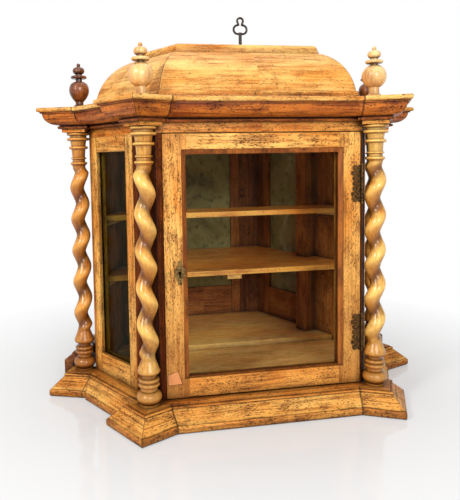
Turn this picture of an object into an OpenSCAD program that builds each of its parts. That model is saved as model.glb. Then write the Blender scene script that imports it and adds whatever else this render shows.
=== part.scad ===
// Six-sided oak display cabinet with barley-twist corner columns and a domed roof.
// Front wall on y = 0, looking towards -y. The floor is z = 0. Millimetres.

/* [Plan of the body] */
// Half the distance between the two front corners
front_half = 180; // [170:1:200]
// Length of each splayed side, corner to corner
side_len = 202; // [195:1:215]
// Angle that each side splays outward from straight back
splay = 28; // [26:1:30]
// Depth from the front wall to the back wall
body_depth = 488; // [480:1:510]
// Angle that each rear side turns inward from straight back
rear_turn = 22; // [20:1:24]
// Thickness of the walls and window frames
wall_t = 18; // [16:1:20]

/* [Base] */
// Height of the bottom slab
slab_h = 14; // [12:1:18]
// Reach of the slab beyond the wall
slab_out = 45; // [42:1:50]
// Height of the sloping moulding
slope_h = 19.4; // [17:0.1:24]
// Reach of the sloping moulding at its top
slope_top_out = 23; // [21:1:27]
// Height of the bead above the slope
bead_h = 3.2; // [2.6:0.1:4]
// Height of the thin plinth that the walls stand on
plinth_h = 2.4; // [2:0.1:4]
// Half width added to every moulding round a foot block
block_core = 6; // [5:0.5:8]
// Reach of the plain rear base beyond the wall
rear_base_out = 67; // [64:1:72]
// Height of the rear base at its outer face
rear_base_h = 49; // [46:1:54]
// Thickness of the rear base boards
rear_base_t = 16; // [13:1:18]

/* [Columns] */
// Distance from a front corner to its column's axis
front_column_out = 18; // [18:0.5:21]
// Distance from a side corner to its column's axis
side_column_out = 21.5; // [21:0.5:24]
// Radius of the round strand of the twist
strand_r = 11.5; // [10.5:0.25:11.5]
// Distance of the strand from the column's axis
strand_throw = 6; // [5:0.25:6]
// Rise of the twist in one turn
twist_pitch = 59; // [52:1:68]
// Largest radius of the rings and the bottom torus
ring_r = 20.5; // [19:0.25:20.75]
// Air between a ring and the hollowed corner post
cove_gap = 1; // [0.6:0.1:1.5]

/* [Door] */
// Left edge of the door
door_left = -165.5; // [-167:0.5:-163]
// Air between the door and the posts beside it
door_gap = 1.2; // [1:0.1:1.6]
// Thickness of the door
door_t = 20; // [18:1:22]
// Width of the door's stiles
stile_w = 38; // [36:0.5:44]
// Height of the door's top and bottom rails
rail_h = 33; // [30:1:38]
// Width of the bead above and beside the glass
glazing_w = 8; // [6:0.5:8.5]
// Width of the thin bead below the glass
sill_w = 2; // [1.5:0.5:4]
// Thickness of the door's glass
pane_t = 3; // [2:0.5:4]
// Air below and above the door
door_air = 2; // [1.5:0.5:3]
// Height of the door opening between base and frieze
opening_h = 435; // [420:1:450]

/* [Hinges and lock] */
// Height of each hinge plate
hinge_h = 62; // [56:1:68]
// Height of the lower hinge's middle above the floor
lower_hinge_z = 129; // [120:1:140]
// Height of the upper hinge's middle above the floor
upper_hinge_z = 385; // [375:1:395]
// Radius of the hinge knuckles
knuckle_r = 2.4; // [2.2:0.1:2.6]
// Radius of the hinge pins
pin_r = 1.3; // [1.1:0.05:1.4]
// Running clearance between a pin and a knuckle
pin_gap = 0.05; // [0.03:0.01:0.09]
// Air between neighbouring knuckles
knuckle_gap = 0.3; // [0.2:0.05:0.5]
// Height of the keyhole above the floor
keyhole_z = 248; // [240:1:256]
// Throw of the lock bolt
bolt_throw = 7; // [5:0.5:8]

/* [Inside] */
// Height of the raised rear floor above the front floor
riser_h = 10; // [8:1:12]
// Distance from the front wall to the raised floor's edge
riser_front = 240; // [230:1:250]
// Height of the middle shelf's top
mid_shelf_z = 214; // [205:1:225]
// Height of the upper shelf's top
upper_shelf_z = 329; // [320:1:338]
// Thickness of both shelves
shelf_t = 10; // [8:1:12]
// Distance from the front wall to the shelves' front edges
shelf_front = 178; // [176:1:190]
// Distance from the front wall to the upper shelf's back edge
upper_shelf_back = 262; // [255:1:268]
// Side of the square inner posts
inner_post = 29; // [25:1:31]

/* [Cornice and roof] */
// Height of the plain frieze
frieze_h = 16; // [14:1:19]
// Height of the cornice moulding under its board
cornice_h = 29.5; // [28.5:0.5:33]
// Reach of the cornice board beyond the wall
cornice_out = 46; // [44:1:50]
// Half width of the cornice block over each column, at its board
cornice_block_out = 55.5; // [53:0.5:57]
// Thickness of the cornice board
board_t = 7.5; // [6.5:0.5:9]
// Height of the frame under the dome
roof_base_h = 14; // [12:1:16]
// Radius of the dome's curve
dome_r = 95; // [90:1:98]
// Thickness of the dome's boards
dome_t = 12; // [10:1:14]
// Distance of the dome's foot inside the wall
dome_inset = 6; // [4:1:8]
// How much further in the dome stands on every wall but the front
dome_side_in = 8; // [5:1:10]
// Height of the dome above its frame
dome_h = 72; // [68:1:74]
// Distance of the top board's edge inside the wall
top_inset = 74; // [72:1:80]
// Thickness of the top board
top_t = 16; // [13:1:18]
// Radius of the finial balls
ball_r = 20; // [18:0.5:21]

/* [Key] */
// Radius of the key's shank
shank_r = 2.9; // [2.6:0.1:3.2]
// Clearance between the shank and its hole
shank_gap = 0.07; // [0.05:0.01:0.09]
// Distance of the key behind the front wall
key_back = 123; // [112:1:140]

/* [Hidden] */
$fn = 48;

// Corners of the wall, anticlockwise from the front left, and each wall's outward direction
side_x = front_half + side_len * sin(splay);
side_y = side_len * cos(splay);
rear_half = side_x - (body_depth - side_y) * tan(rear_turn);
corners = [
    [-front_half, 0], [front_half, 0], [side_x, side_y],
    [rear_half, body_depth], [-rear_half, body_depth], [-side_x, side_y]
];
facing = [-90, -splay, rear_turn, 90, 180 - rear_turn, 180 + splay];
FRONT = 0;
SIDE_R = 1;
REAR_R = 2;
BACK = 3;
REAR_L = 4;
SIDE_L = 5;

function dir(a) = [cos(a), sin(a)];
function wall_dir(i) = dir(facing[i] + 90);
function corner(i) = corners[i % 6];
function wall_len(i) = norm(corner(i + 1) - corner(i));
// A corner of the plan moved out by o from both of its walls. All walls but the front are first
// moved in by side.
function moved_corner(i, o, side = 0) =
    let (
        a = dir(facing[(i + 5) % 6]),
        b = dir(facing[i % 6]),
        p = o - ((i + 5) % 6 == FRONT ? 0 : side),
        q = o - (i % 6 == FRONT ? 0 : side)
    )
    corner(i) + ((p - q * (a * b)) * a + (q - p * (a * b)) * b) / (1 - (a * b) * (a * b));
function outline(o, side = 0) = [for (i = [0:5]) moved_corner(i, o, side)];
// A point on wall i, s along it from its first corner and o outward
function on_wall(i, s, o) = corner(i) + s * wall_dir(i) + o * dir(facing[i % 6]);

// Levels
slope_z = slab_h;
bead_z = slope_z + slope_h;
plinth_z = bead_z + bead_h;
wall_z = plinth_z + plinth_h;
frieze_z = wall_z + opening_h;
cornice_z = frieze_z + frieze_h;
board_z = cornice_z + cornice_h;
roof_z = board_z + board_t;
dome_z = roof_z + roof_base_h;
top_z = dome_z + dome_h;
far = 900;
eps = 0.01;

// Columns and their blocks: front left, front right, side right, side left. The front ones stand
// square to the splayed sides, the side ones square to the rear sides.
block_facing = [facing[SIDE_L], facing[SIDE_R], facing[REAR_R], facing[REAR_L]];
column_at = [
    corner(0) + front_column_out * dir(block_facing[0]),
    corner(1) + front_column_out * dir(block_facing[1]),
    corner(2) + side_column_out * dir(block_facing[2]),
    corner(5) + side_column_out * dir(block_facing[3])
];
column_top = cornice_z - 6;

// Mouldings
slab_round = 4;
slope_foot_in = 2;
bead_proud = 1.5;
plinth_in = 3.5;
base_ring_w = 40;
// The rear base begins behind the middle of each side block
rear_start = 9;
rear_step = 4;

// A profile run along wall i, or along side j of the square block over column k
module along_wall(i) {
    translate(corner(i)) rotate([90, 0, facing[i]])
        linear_extrude(2 * far, center = true) children();
}

module along_block(k, j) {
    translate(column_at[k]) rotate([90, 0, block_facing[k] + 90 * j])
        linear_extrude(2 * far, center = true) children();
}

// A solid whose plan at every height is the body's outline, moved out as the profile says
module round_walls() {
    intersection_for (i = [0:5]) along_wall(i) children();
}

// The same for a square block of any profile
module round_block(k) {
    intersection_for (j = [0:3]) along_block(k, j) children();
}

// The same for the base, from the walls' profile and the blocks' profile. The rear walls have
// none, and the side blocks end behind their columns.
module base_part(z0, z1) {
    intersection_for (i = [0:5]) along_wall(i)
        if (i == FRONT || i == SIDE_L || i == SIDE_R) children(0);
        else strip(0, z0, z1);
    for (k = [0:3]) intersection_for (j = [0:3]) along_block(k, j)
        if ((k == 2 && j == 1) || (k == 3 && j == 3)) strip(rear_start, z0, z1);
        else children(1);
}

// A strip of a profile that runs in from out to the middle of the cabinet
module strip(out, z0, z1) {
    translate([-far, z0]) square([far + out, z1 - z0]);
}

// A strip with a rounded nose
module nosed_strip(out, z0, z1, r) {
    strip(out - r, z0, z1);
    strip(out, z0 + r, z1 - r);
    translate([out - r, z0 + r]) circle(r);
    translate([out - r, z1 - r]) circle(r);
}

// A strip with a full round nose
module beaded_strip(out, z0, z1) {
    r = (z1 - z0) / 2;
    strip(out - r, z0, z1);
    translate([out - r, z0 + r]) circle(r);
}

// The plan between the two mitres at the ends of wall i, each drawn in by air
module wedge(i, air = 0, side = 0) {
    a = moved_corner(i, 110, side);
    b = moved_corner(i + 1, 110, side);
    c = moved_corner(i + 1, -100, side);
    d = moved_corner(i, -100, side);
    w = air * wall_dir(i);
    polygon([a + w, b - w, c - w, d + w]);
}

// The plan behind the two side blocks' middles, where the base is plain
module rear_part() {
    out_dir = dir(facing[REAR_L]);
    along = [out_dir[1], -out_dir[0]];
    cut = column_at[3] + rear_start * along;
    a = cut + 250 * out_dir;
    b = cut - 200 * out_dir;
    polygon([a, b, [-b[0], b[1]], [-a[0], a[1]], [far, far], [-far, far]]);
}

module base_slab() {
    color("peru") base_part(0, slab_h) {
        nosed_strip(slab_out, 0, slab_h, slab_round);
        nosed_strip(slab_out + block_core, 0, slab_h, slab_round);
    }
}

module slope_strip(core) {
    polygon([
        [-far, slope_z], [slab_out - slope_foot_in + core, slope_z],
        [slope_top_out + core, bead_z], [-far, bead_z]
    ]);
}

module base_slope() {
    color("peru") difference() {
        base_part(slope_z, bead_z) {
            slope_strip(0);
            slope_strip(block_core);
        }
        linear_extrude(bead_z + 1) polygon(outline(-base_ring_w));
    }
}

module plinth_strip(core) {
    beaded_strip(slope_top_out + bead_proud + core, bead_z, plinth_z);
    strip(slope_top_out - plinth_in + core, bead_z, wall_z);
}

module base_plinth() {
    color("peru") difference() {
        base_part(bead_z, wall_z) {
            plinth_strip(0);
            plinth_strip(block_core);
        }
        linear_extrude(wall_z + 1) polygon(outline(-wall_t));
    }
}

// Plain rear base: an upright board and a sloping top in two steps, open underneath
module rear_base(i) {
    out = rear_base_out;
    t = rear_base_t;
    h = rear_base_h;
    slope_1 = 11;
    slope_2 = 7;
    slope_2_w = 10;
    top_in = 24;
    top_h = h + slope_1 + rear_step + slope_2 + 11;
    color("saddlebrown") intersection() {
        translate(corner(i)) rotate([90, 0, facing[i]]) linear_extrude(2 * far, center = true)
            polygon([
                [0, top_h], [top_in, top_h], [out - t - slope_2_w, h + slope_1 + rear_step + slope_2],
                [out - t, h + slope_1 + rear_step], [out - t, h + slope_1], [out, h], [out, 0],
                [out - t, 0], [out - t, h - 6], [top_in - 4, top_h - t - 2], [0, top_h - t - 2]
            ]);
        linear_extrude(200) intersection() {
            wedge(i);
            rear_part();
        }
    }
}

module rear_base_left() {
    difference() {
        rear_base(REAR_L);
        column_hollow(3);
    }
}

module rear_base_back() {
    rear_base(BACK);
}

module rear_base_right() {
    difference() {
        rear_base(REAR_R);
        column_hollow(2);
    }
}

module floor_board() {
    color("burlywood") translate([0, 0, bead_z]) linear_extrude(wall_z - bead_z)
        polygon(outline(-wall_t));
}

module raised_floor() {
    color("burlywood") translate([0, 0, wall_z]) linear_extrude(riser_h) difference() {
        intersection() {
            polygon(outline(-wall_t));
            translate([-far, riser_front]) square([2 * far, far]);
        }
        for (m = [-1, 1]) inner_post_plan(m, 0);
    }
}

// Posts at the corners, as wide along each wall as the frames beside them leave
frame_start = 60;
frame_end = 8;
side_leg = 14;
rear_board_w = 110;
rear_frame_w = 173;
back_leg = 58;
lip_w = 8;
lip_gap = 0.5;
lip_t = 12;
door_right = door_left + 338;
post_front_l = door_left - door_gap;
post_front_r = door_right + door_gap;

module post_plan(i, leg_before, leg_after) {
    before = (i + 5) % 6;
    polygon([
        corner(i), on_wall(i, leg_after, 0), on_wall(i, leg_after, -wall_t),
        moved_corner(i, -wall_t),
        on_wall(before, wall_len(before) - leg_before, -wall_t),
        on_wall(before, wall_len(before) - leg_before, 0)
    ]);
}

module standing(height = opening_h) {
    translate([0, 0, wall_z]) linear_extrude(height) children();
}

// The hollow that a column's rings run in
module column_hollow(k) {
    translate([column_at[k][0], column_at[k][1], wall_z - 1])
        cylinder(h = opening_h + 2, r = ring_r + cove_gap);
}

// The plan that the door's edge closes into: edge is the post's face, m points at the door
module door_room(edge, m) {
    translate([min(edge, edge + m * 30), -1]) square([30, door_t + lip_gap + 1]);
}

// Lip behind the door: edge is the post's face towards the door, m points at the door
module door_lip(edge, m) {
    lip_y = door_t + lip_gap;
    inner = edge - m * 6;
    translate([min(inner, edge), wall_t - 2]) square([6, lip_y + lip_t - wall_t + 2]);
    far_edge = edge + m * (door_gap + lip_w);
    translate([min(edge, far_edge), lip_y]) square([door_gap + lip_w, lip_t]);
}

bolt_h = 12;
bolt_t = 3;
bolt_air = 0.3;
lock_x = -140.5;
case_w = 28;
case_h = 60;
case_d = 9;
case_wall = 1.5;
case_left = door_left + lip_w + 1.5;
bolt_y = door_t + case_d / 2;
keep_t = 0.8;
keep_h = 30;

module post_front_left() {
    color("sienna") difference() {
        standing() {
            difference() {
                post_plan(0, frame_start, post_front_l - corner(0)[0]);
                door_room(post_front_l, 1);
            }
            door_lip(post_front_l, 1);
        }
        column_hollow(0);
        translate([door_left + lip_w - bolt_throw - 2, bolt_y - bolt_t / 2 - bolt_air,
                   keyhole_z - bolt_h / 2 - bolt_air])
            cube([bolt_throw + 3, bolt_t + 2 * bolt_air, bolt_h + 2 * bolt_air]);
        translate([door_left + lip_w - keep_t, door_t + lip_gap + 1, keyhole_z - keep_h / 2])
            cube([keep_t + 1, lip_t - 2, keep_h]);
    }
}

module post_front_right() {
    color("sienna") difference() {
        standing() {
            difference() {
                post_plan(1, corner(1)[0] - post_front_r, frame_start);
                door_room(post_front_r, -1);
            }
            door_lip(post_front_r, -1);
        }
        column_hollow(1);
        for (z = [lower_hinge_z, upper_hinge_z]) fixed_leaf(z);
    }
}

module post_side_right() {
    color("sienna") difference() {
        standing() post_plan(2, frame_end, side_leg);
        column_hollow(2);
    }
}

module post_side_left() {
    color("sienna") difference() {
        standing() post_plan(5, side_leg, frame_end);
        column_hollow(3);
    }
}

rear_post_leg = wall_len(REAR_R) - side_leg - rear_board_w - rear_frame_w;

module post_rear_right() {
    color("saddlebrown") standing() post_plan(3, rear_post_leg, back_leg);
}

module post_rear_left() {
    color("saddlebrown") standing() post_plan(4, back_leg, rear_post_leg);
}

// A window frame: x along the wall, y outward from its inner face, and its glass in a groove
groove = 5;
pane_air = 0.3;
window_top = 27;

module frame_solid(w, near, end_w, bottom) {
    glass_w = w - near - end_w;
    glass_h = opening_h - bottom - window_top;
    rotate([90, 0, 0]) difference() {
        translate([0, 0, -wall_t]) cube([w, opening_h, wall_t]);
        translate([near, bottom, -wall_t - 1]) cube([glass_w, glass_h, wall_t + 2]);
        translate([near - groove, bottom - groove, -wall_t / 2 - pane_t / 2])
            cube([glass_w + 2 * groove, glass_h + 2 * groove, pane_t]);
    }
}

module frame_pane(w, near, end_w, bottom) {
    glass_w = w - near - end_w;
    glass_h = opening_h - bottom - window_top;
    rotate([90, 0, 0])
        translate([near - groove + pane_air, bottom - groove, -wall_t / 2 - pane_t / 2 + pane_air])
            cube([glass_w + 2 * (groove - pane_air), glass_h + 2 * groove - pane_air,
                  pane_t - 2 * pane_air]);
}

module on_wall_at(i, s) {
    p = on_wall(i, s, 0);
    translate([p[0], p[1], wall_z]) rotate(facing[i] + 90) children();
}

side_frame_w = side_len - frame_start - frame_end;
side_near = 22;
side_end = 16;
side_bottom = 36;
rear_near = 51;
rear_end = 19;
rear_bottom = 79;
back_frame_w = 2 * rear_half - 2 * back_leg;
back_stile = 21;

module side_frame_right() {
    color("peru") on_wall_at(SIDE_R, frame_start)
        frame_solid(side_frame_w, side_near, side_end, side_bottom);
}

module side_pane_right() {
    color("lightcyan", 0.4) on_wall_at(SIDE_R, frame_start)
        frame_pane(side_frame_w, side_near, side_end, side_bottom);
}

module side_frame_left() {
    color("peru") on_wall_at(SIDE_L, frame_end)
        frame_solid(side_frame_w, side_end, side_near, side_bottom);
}

module side_pane_left() {
    color("lightcyan", 0.4) on_wall_at(SIDE_L, frame_end)
        frame_pane(side_frame_w, side_end, side_near, side_bottom);
}

module rear_board_right() {
    color("saddlebrown") on_wall_at(REAR_R, side_leg)
        cube([rear_board_w, wall_t, opening_h]);
}

module rear_board_left() {
    color("saddlebrown") on_wall_at(REAR_L, rear_post_leg + rear_frame_w)
        cube([rear_board_w, wall_t, opening_h]);
}

module rear_frame_right() {
    color("saddlebrown") on_wall_at(REAR_R, side_leg + rear_board_w)
        frame_solid(rear_frame_w, rear_near, rear_end, rear_bottom);
}

module rear_pane_right() {
    color("lightcyan", 0.4) on_wall_at(REAR_R, side_leg + rear_board_w)
        frame_pane(rear_frame_w, rear_near, rear_end, rear_bottom);
}

module rear_frame_left() {
    color("saddlebrown") on_wall_at(REAR_L, rear_post_leg)
        frame_solid(rear_frame_w, rear_end, rear_near, rear_bottom);
}

module rear_pane_left() {
    color("lightcyan", 0.4) on_wall_at(REAR_L, rear_post_leg)
        frame_pane(rear_frame_w, rear_end, rear_near, rear_bottom);
}

module back_frame() {
    color("saddlebrown") on_wall_at(BACK, back_leg)
        frame_solid(back_frame_w, back_stile, back_stile, rear_bottom);
}

module back_pane() {
    color("lightcyan", 0.4) on_wall_at(BACK, back_leg)
        frame_pane(back_frame_w, back_stile, back_stile, rear_bottom);
}

// Square inner posts that stand against the rear walls; m is -1 left, 1 right
module inner_post_plan(m, air) {
    i = m > 0 ? REAR_R : REAR_L;
    s = m > 0 ? side_leg + rear_board_w : rear_post_leg + rear_frame_w - inner_post;
    a = on_wall(i, s, -wall_t);
    translate(a) rotate(facing[i] + 90) translate([-air, 0])
        square([inner_post + 2 * air, inner_post + air]);
}

module inner_post_left() {
    color("saddlebrown") standing() inner_post_plan(-1, 0);
}

module inner_post_right() {
    color("saddlebrown") standing() inner_post_plan(1, 0);
}

shelf_air = 0.5;
cleat_t = 8;
cleat_h = 10;
batten_w = 29;
batten_h = 9;

// A shelf's plan between two depths, cut round the inner posts
module shelf_plan(y0, y1) {
    difference() {
        intersection() {
            polygon(outline(-wall_t - shelf_air));
            translate([-far, y0]) square([2 * far, y1 - y0]);
        }
        for (m = [-1, 1]) inner_post_plan(m, shelf_air);
    }
}

module shelf_middle() {
    color("chocolate") translate([0, 0, mid_shelf_z - shelf_t])
        linear_extrude(shelf_t) shelf_plan(shelf_front, body_depth);
}

module shelf_upper() {
    color("chocolate") translate([0, 0, upper_shelf_z - shelf_t])
        linear_extrude(shelf_t) shelf_plan(shelf_front, upper_shelf_back);
}

module shelf_batten() {
    color("burlywood")
        translate([-batten_w / 2, shelf_front + 3, mid_shelf_z - shelf_t - batten_h])
            cube([batten_w, body_depth - wall_t - shelf_front - 20, batten_h]);
}

// Cleats on the rear boards carry both shelves, and one on the back wall the middle shelf
module shelf_cleats() {
    color("burlywood") {
        for (z = [mid_shelf_z, upper_shelf_z]) {
            translate([0, 0, z - shelf_t - cleat_h]) linear_extrude(cleat_h) {
                translate(on_wall(REAR_R, side_leg, -wall_t)) rotate(facing[REAR_R] + 90)
                    translate([10, 0]) square([rear_board_w - 20, cleat_t]);
                translate(on_wall(REAR_L, rear_post_leg + rear_frame_w, -wall_t))
                    rotate(facing[REAR_L] + 90)
                        translate([10, 0]) square([rear_board_w - 20, cleat_t]);
            }
        }
        translate([-rear_half / 2, body_depth - wall_t - cleat_t, mid_shelf_z - shelf_t - cleat_h])
            cube([rear_half, cleat_t, cleat_h]);
    }
}

// Turned work: half profiles, x from the axis
module drum(r, z0, z1) {
    translate([0, z0]) square([r, z1 - z0]);
}

// A rounded ring of outer radius r between two heights
module ring(r, z0, z1) {
    h = (z1 - z0) / 2;
    translate([0, z0]) square([r - h, 2 * h]);
    translate([r - h, z0 + h]) intersection() {
        circle(h);
        translate([-1, -h]) square([h + 1, 2 * h]);
    }
}

module cone_part(r0, z0, r1, z1) {
    polygon([[0, z0], [r0, z0], [r1, z1], [0, z1]]);
}

neck_r = 14;
slim_r = 11.5;
foot_disc_h = 3;
torus_h = 21;
foot_neck_h = 6;
foot_ring_h = 14.5;
foot_slim_h = 5.5;
bell_h = 24;
bell_r = 18.5;

// Levels of one column above the plinth
torus_top = foot_disc_h + torus_h;
foot_ring_z = torus_top + foot_neck_h;
bell_z = foot_ring_z + foot_ring_h + foot_slim_h;
shaft_z = bell_z + bell_h;
column_h = column_top - wall_z;
shaft_top = column_h - 62;

module column_foot() {
    rotate_extrude() {
        drum(neck_r + 2, 0, foot_disc_h + 2);
        ring(ring_r, foot_disc_h, torus_top);
        drum(neck_r, torus_top - 2, foot_ring_z + 1);
        ring(bell_r - 1, foot_ring_z, foot_ring_z + 7);
        drum(neck_r, foot_ring_z + 6, foot_ring_z + 9);
        ring(bell_r - 1.5, foot_ring_z + 8, foot_ring_z + foot_ring_h);
        drum(slim_r, foot_ring_z + foot_ring_h - 1, bell_z + 1);
        intersection() {
            translate([bell_r - 6, bell_z + 6]) circle(6);
            drum(bell_r + 1, bell_z, bell_z + 7);
        }
        drum(bell_r - 6, bell_z, bell_z + 7);
        cone_part(bell_r, bell_z + 6, slim_r, bell_z + bell_h);
    }
}

module column_capital() {
    t = column_h;
    rotate_extrude() {
        ring(ring_r + 0.25, t - 5.5, t);
        drum(ring_r - 5, t - 10.5, t - 4.5);
        ring(ring_r + 0.25, t - 15, t - 9.5);
        cone_part(slim_r + 1.5, t - 25, neck_r + 1, t - 14);
        ring(ring_r - 3, t - 30.5, t - 25);
        cone_part(slim_r, t - 45, slim_r + 1.5, t - 30);
        ring(neck_r, t - 49, t - 45.5);
        drum(slim_r, t - 55, t - 45);
        cone_part(slim_r, t - 62, slim_r + 4, t - 57);
        ring(slim_r + 4, t - 59, t - 54);
    }
}

strand_sides = 20;
steps_per_turn = 11;
run_out = 14;
seat_in = 2;
shaft_h = shaft_top - shaft_z;
shaft_rings = round(shaft_h / twist_pitch * steps_per_turn);

// One section of the twist: a circle thrown off the axis, dying into the round at both ends
function strand_ring(z, hand, ridge) =
    let (
        s = max(0, min(1, z / run_out, (shaft_h - z) / run_out)),
        a = ridge - hand * 360 * z / twist_pitch,
        c = strand_throw * (1 - cos(180 * s)) / 2 * dir(a),
        r = strand_r - 1 + s
    )
    [for (j = [0:strand_sides - 1])
        let (p = c + r * dir(a + 360 * j / strand_sides)) [p[0], p[1], z]];

// The twist is lofted through its sections; hand is 1 or -1, and ridge where it bulges at z = 0
module barley_twist(hand, ridge) {
    n = strand_sides;
    levels = [-seat_in, for (i = [0:shaft_rings]) i * shaft_h / shaft_rings, shaft_h + seat_in];
    top = (len(levels) - 1) * n;
    translate([0, 0, shaft_z]) polyhedron(
        points = [for (z = levels) each strand_ring(z, hand, ridge)],
        faces = [
            [for (j = [0:n - 1]) j],
            [for (j = [n - 1:-1:0]) top + j],
            for (i = [0:len(levels) - 2], j = [0:n - 1]) hand > 0
                ? [i * n + j, (i + 1) * n + j, (i + 1) * n + (j + 1) % n]
                : [i * n + j, (i + 1) * n + j, i * n + (j + 1) % n],
            for (i = [0:len(levels) - 2], j = [0:n - 1]) hand > 0
                ? [i * n + j, (i + 1) * n + (j + 1) % n, i * n + (j + 1) % n]
                : [(i + 1) * n + j, (i + 1) * n + (j + 1) % n, i * n + (j + 1) % n]
        ]
    );
}

module column(k, hand, ridge) {
    translate([column_at[k][0], column_at[k][1], wall_z]) {
        column_foot();
        barley_twist(hand, ridge);
        column_capital();
    }
}

// Heights at which each column bulges sideways
front_left_bulge_z = 377;
front_right_bulge_z = 391;
side_left_bulge_z = 382;

function ridge_at(hand, bulge_dir, bulge_z) =
    bulge_dir + hand * 360 * (bulge_z - wall_z - shaft_z) / twist_pitch;

module column_front_left() {
    color("goldenrod") column(0, 1, ridge_at(1, -7, front_left_bulge_z));
}

module column_front_right() {
    color("goldenrod") column(1, -1, ridge_at(-1, -28, front_right_bulge_z));
}

module column_side_right() {
    color("goldenrod") column(2, 1, ridge_at(1, 0, side_left_bulge_z));
}

module column_side_left() {
    color("goldenrod") column(3, -1, ridge_at(-1, 180, side_left_bulge_z));
}

// Frieze, with a small square block over each column
abacus_half = 22;

module frieze() {
    color("peru") difference() {
        union() {
            translate([0, 0, frieze_z]) linear_extrude(frieze_h) polygon(outline(0));
            for (k = [0:3]) translate([column_at[k][0], column_at[k][1], column_top])
                rotate(block_facing[k]) translate([-abacus_half, -abacus_half, 0])
                    cube([2 * abacus_half, 2 * abacus_half, cornice_z - column_top]);
        }
        translate([0, 0, frieze_z - 1]) linear_extrude(frieze_h + 2) polygon(outline(-wall_t));
        for (k = [0:3]) translate([column_at[k][0], column_at[k][1], frieze_z - 1])
            cylinder(h = column_top - frieze_z + 1, r = ring_r + cove_gap);
    }
}

module ceiling_board() {
    color("burlywood") translate([0, 0, cornice_z - 10]) linear_extrude(10)
        polygon(outline(-wall_t));
}

// Cornice: a small bead, a quirk, a large quarter round and a fillet, from inner to outer reach
bead_top = 5.5;
quirk_top = 7;
quarter_r = 20;

module cornice_strip(small, large, edge) {
    beaded_strip(small, cornice_z, cornice_z + bead_top);
    strip(small - 3, cornice_z, cornice_z + quirk_top + eps);
    strip(large - quarter_r, cornice_z + quirk_top, cornice_z + quirk_top + quarter_r);
    intersection() {
        translate([large - quarter_r, cornice_z + quirk_top + quarter_r]) circle(quarter_r);
        strip(large, cornice_z + quirk_top, cornice_z + quirk_top + quarter_r);
    }
    strip(edge, cornice_z + quirk_top + quarter_r - eps, board_z);
}

module cornice_moulding() {
    color("sienna") difference() {
        union() {
            round_walls() cornice_strip(10, cornice_out - 8, cornice_out - 5);
            for (k = [0:3]) round_block(k)
                cornice_strip(28, cornice_block_out - 7.5, cornice_block_out - 4.5);
        }
        translate([0, 0, cornice_z - 1]) linear_extrude(cornice_h + 2) polygon(outline(-wall_t));
    }
}

board_round = 3;

module cornice_board() {
    color("peru") {
        round_walls() nosed_strip(cornice_out, board_z, roof_z, board_round);
        for (k = [0:3]) round_block(k)
            nosed_strip(cornice_block_out, board_z, roof_z, board_round);
    }
}

// The roof's own walls: every one but the front stands further in
module along_roof(i) {
    translate(-(i == FRONT ? 0 : dome_side_in) * dir(facing[i])) along_wall(i) children();
}

module round_roof() {
    intersection_for (i = [0:5]) along_roof(i) children();
}

frame_proud = 5;
frame_round = 5;

// Frame under the dome, with a rounded edge
module roof_frame() {
    out = frame_proud - dome_inset;
    color("peru") difference() {
        round_roof() {
            strip(out - frame_round, roof_z, dome_z);
            strip(out, roof_z, dome_z - frame_round);
            translate([out - frame_round, dome_z - frame_round]) circle(frame_round);
        }
        translate([0, 0, roof_z - 1]) linear_extrude(roof_base_h + 2)
            polygon(outline(-dome_inset - dome_t - 6, dome_side_in));
    }
}

// Dome: six curved panels, each a slice of a barrel, mitred over the corners
dome_in = 93;
panel_air = 0.1;
dome_drop = 18;
dome_open = 90;

module dome_profile() {
    intersection() {
        translate([-dome_inset - dome_in, dome_z - dome_drop]) difference() {
            circle(dome_r, $fn = 96);
            circle(dome_r - dome_t, $fn = 96);
        }
        translate([-dome_open, dome_z]) square([dome_open, dome_h]);
    }
}

module dome_panel(i) {
    intersection() {
        along_roof(i) dome_profile();
        linear_extrude(top_z + 1) wedge(i, panel_air, dome_side_in);
    }
}

module dome_panels() {
    color("orange") for (i = [0:5]) dome_panel(i);
}

top_round = 8;

module top_board() {
    color("orange") difference() {
        round_roof() {
            strip(-top_inset, top_z, top_z + top_t - top_round);
            strip(-top_inset - top_round, top_z, top_z + top_t);
            translate([-top_inset - top_round, top_z + top_t - top_round]) circle(top_round);
        }
        translate([0, key_back, top_z - 1]) {
            cylinder(h = top_t + 2, r = shank_r + shank_gap);
            translate([-bit_t / 2 - bit_air, 0, 0])
                cube([bit_t + 2 * bit_air, bit_w + bit_air, top_t + 2]);
        }
    }
}

// Turned finials on the cornice blocks. The front pair have balls, the dark side pair are pear
// shaped. Each stands a little off its column's axis.
finial_shift = [-1.5, -3.5, -11, 4.5];
ball_z = ball_r + 16;
pear_r = 18.2;
pear_z = 34;
pear_neck_z = 13;
pear_top_h = 15.5;
pear_steps = 6;

module finial_foot() {
    drum(14, 0, 2.5);
    cone_part(14, 2.4, 8.4, 8);
}

// Neck, plate, bulb and knob above a body whose widest part is at z
module finial_top(z) {
    drum(6, z + 12, z + 40);
    ring(14.5, z + 21.2, z + 26.6);
    intersection() {
        translate([4.4, z + 35.8]) circle(6.4);
        drum(12, z + 29, z + 43);
    }
    drum(4.4, z + 29.4, z + 42.2);
    cone_part(4.4, z + 41, 2.8, z + 45);
    translate([0, z + 46]) intersection() {
        circle(3.5);
        drum(4, -4, 4);
    }
}

module finial_ball() {
    rotate_extrude() {
        finial_foot();
        drum(8.4, 7, ball_z);
        translate([0, ball_z]) intersection() {
            circle(ball_r);
            drum(ball_r + 1, -ball_r, ball_r);
        }
        finial_top(ball_z);
    }
}

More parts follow.
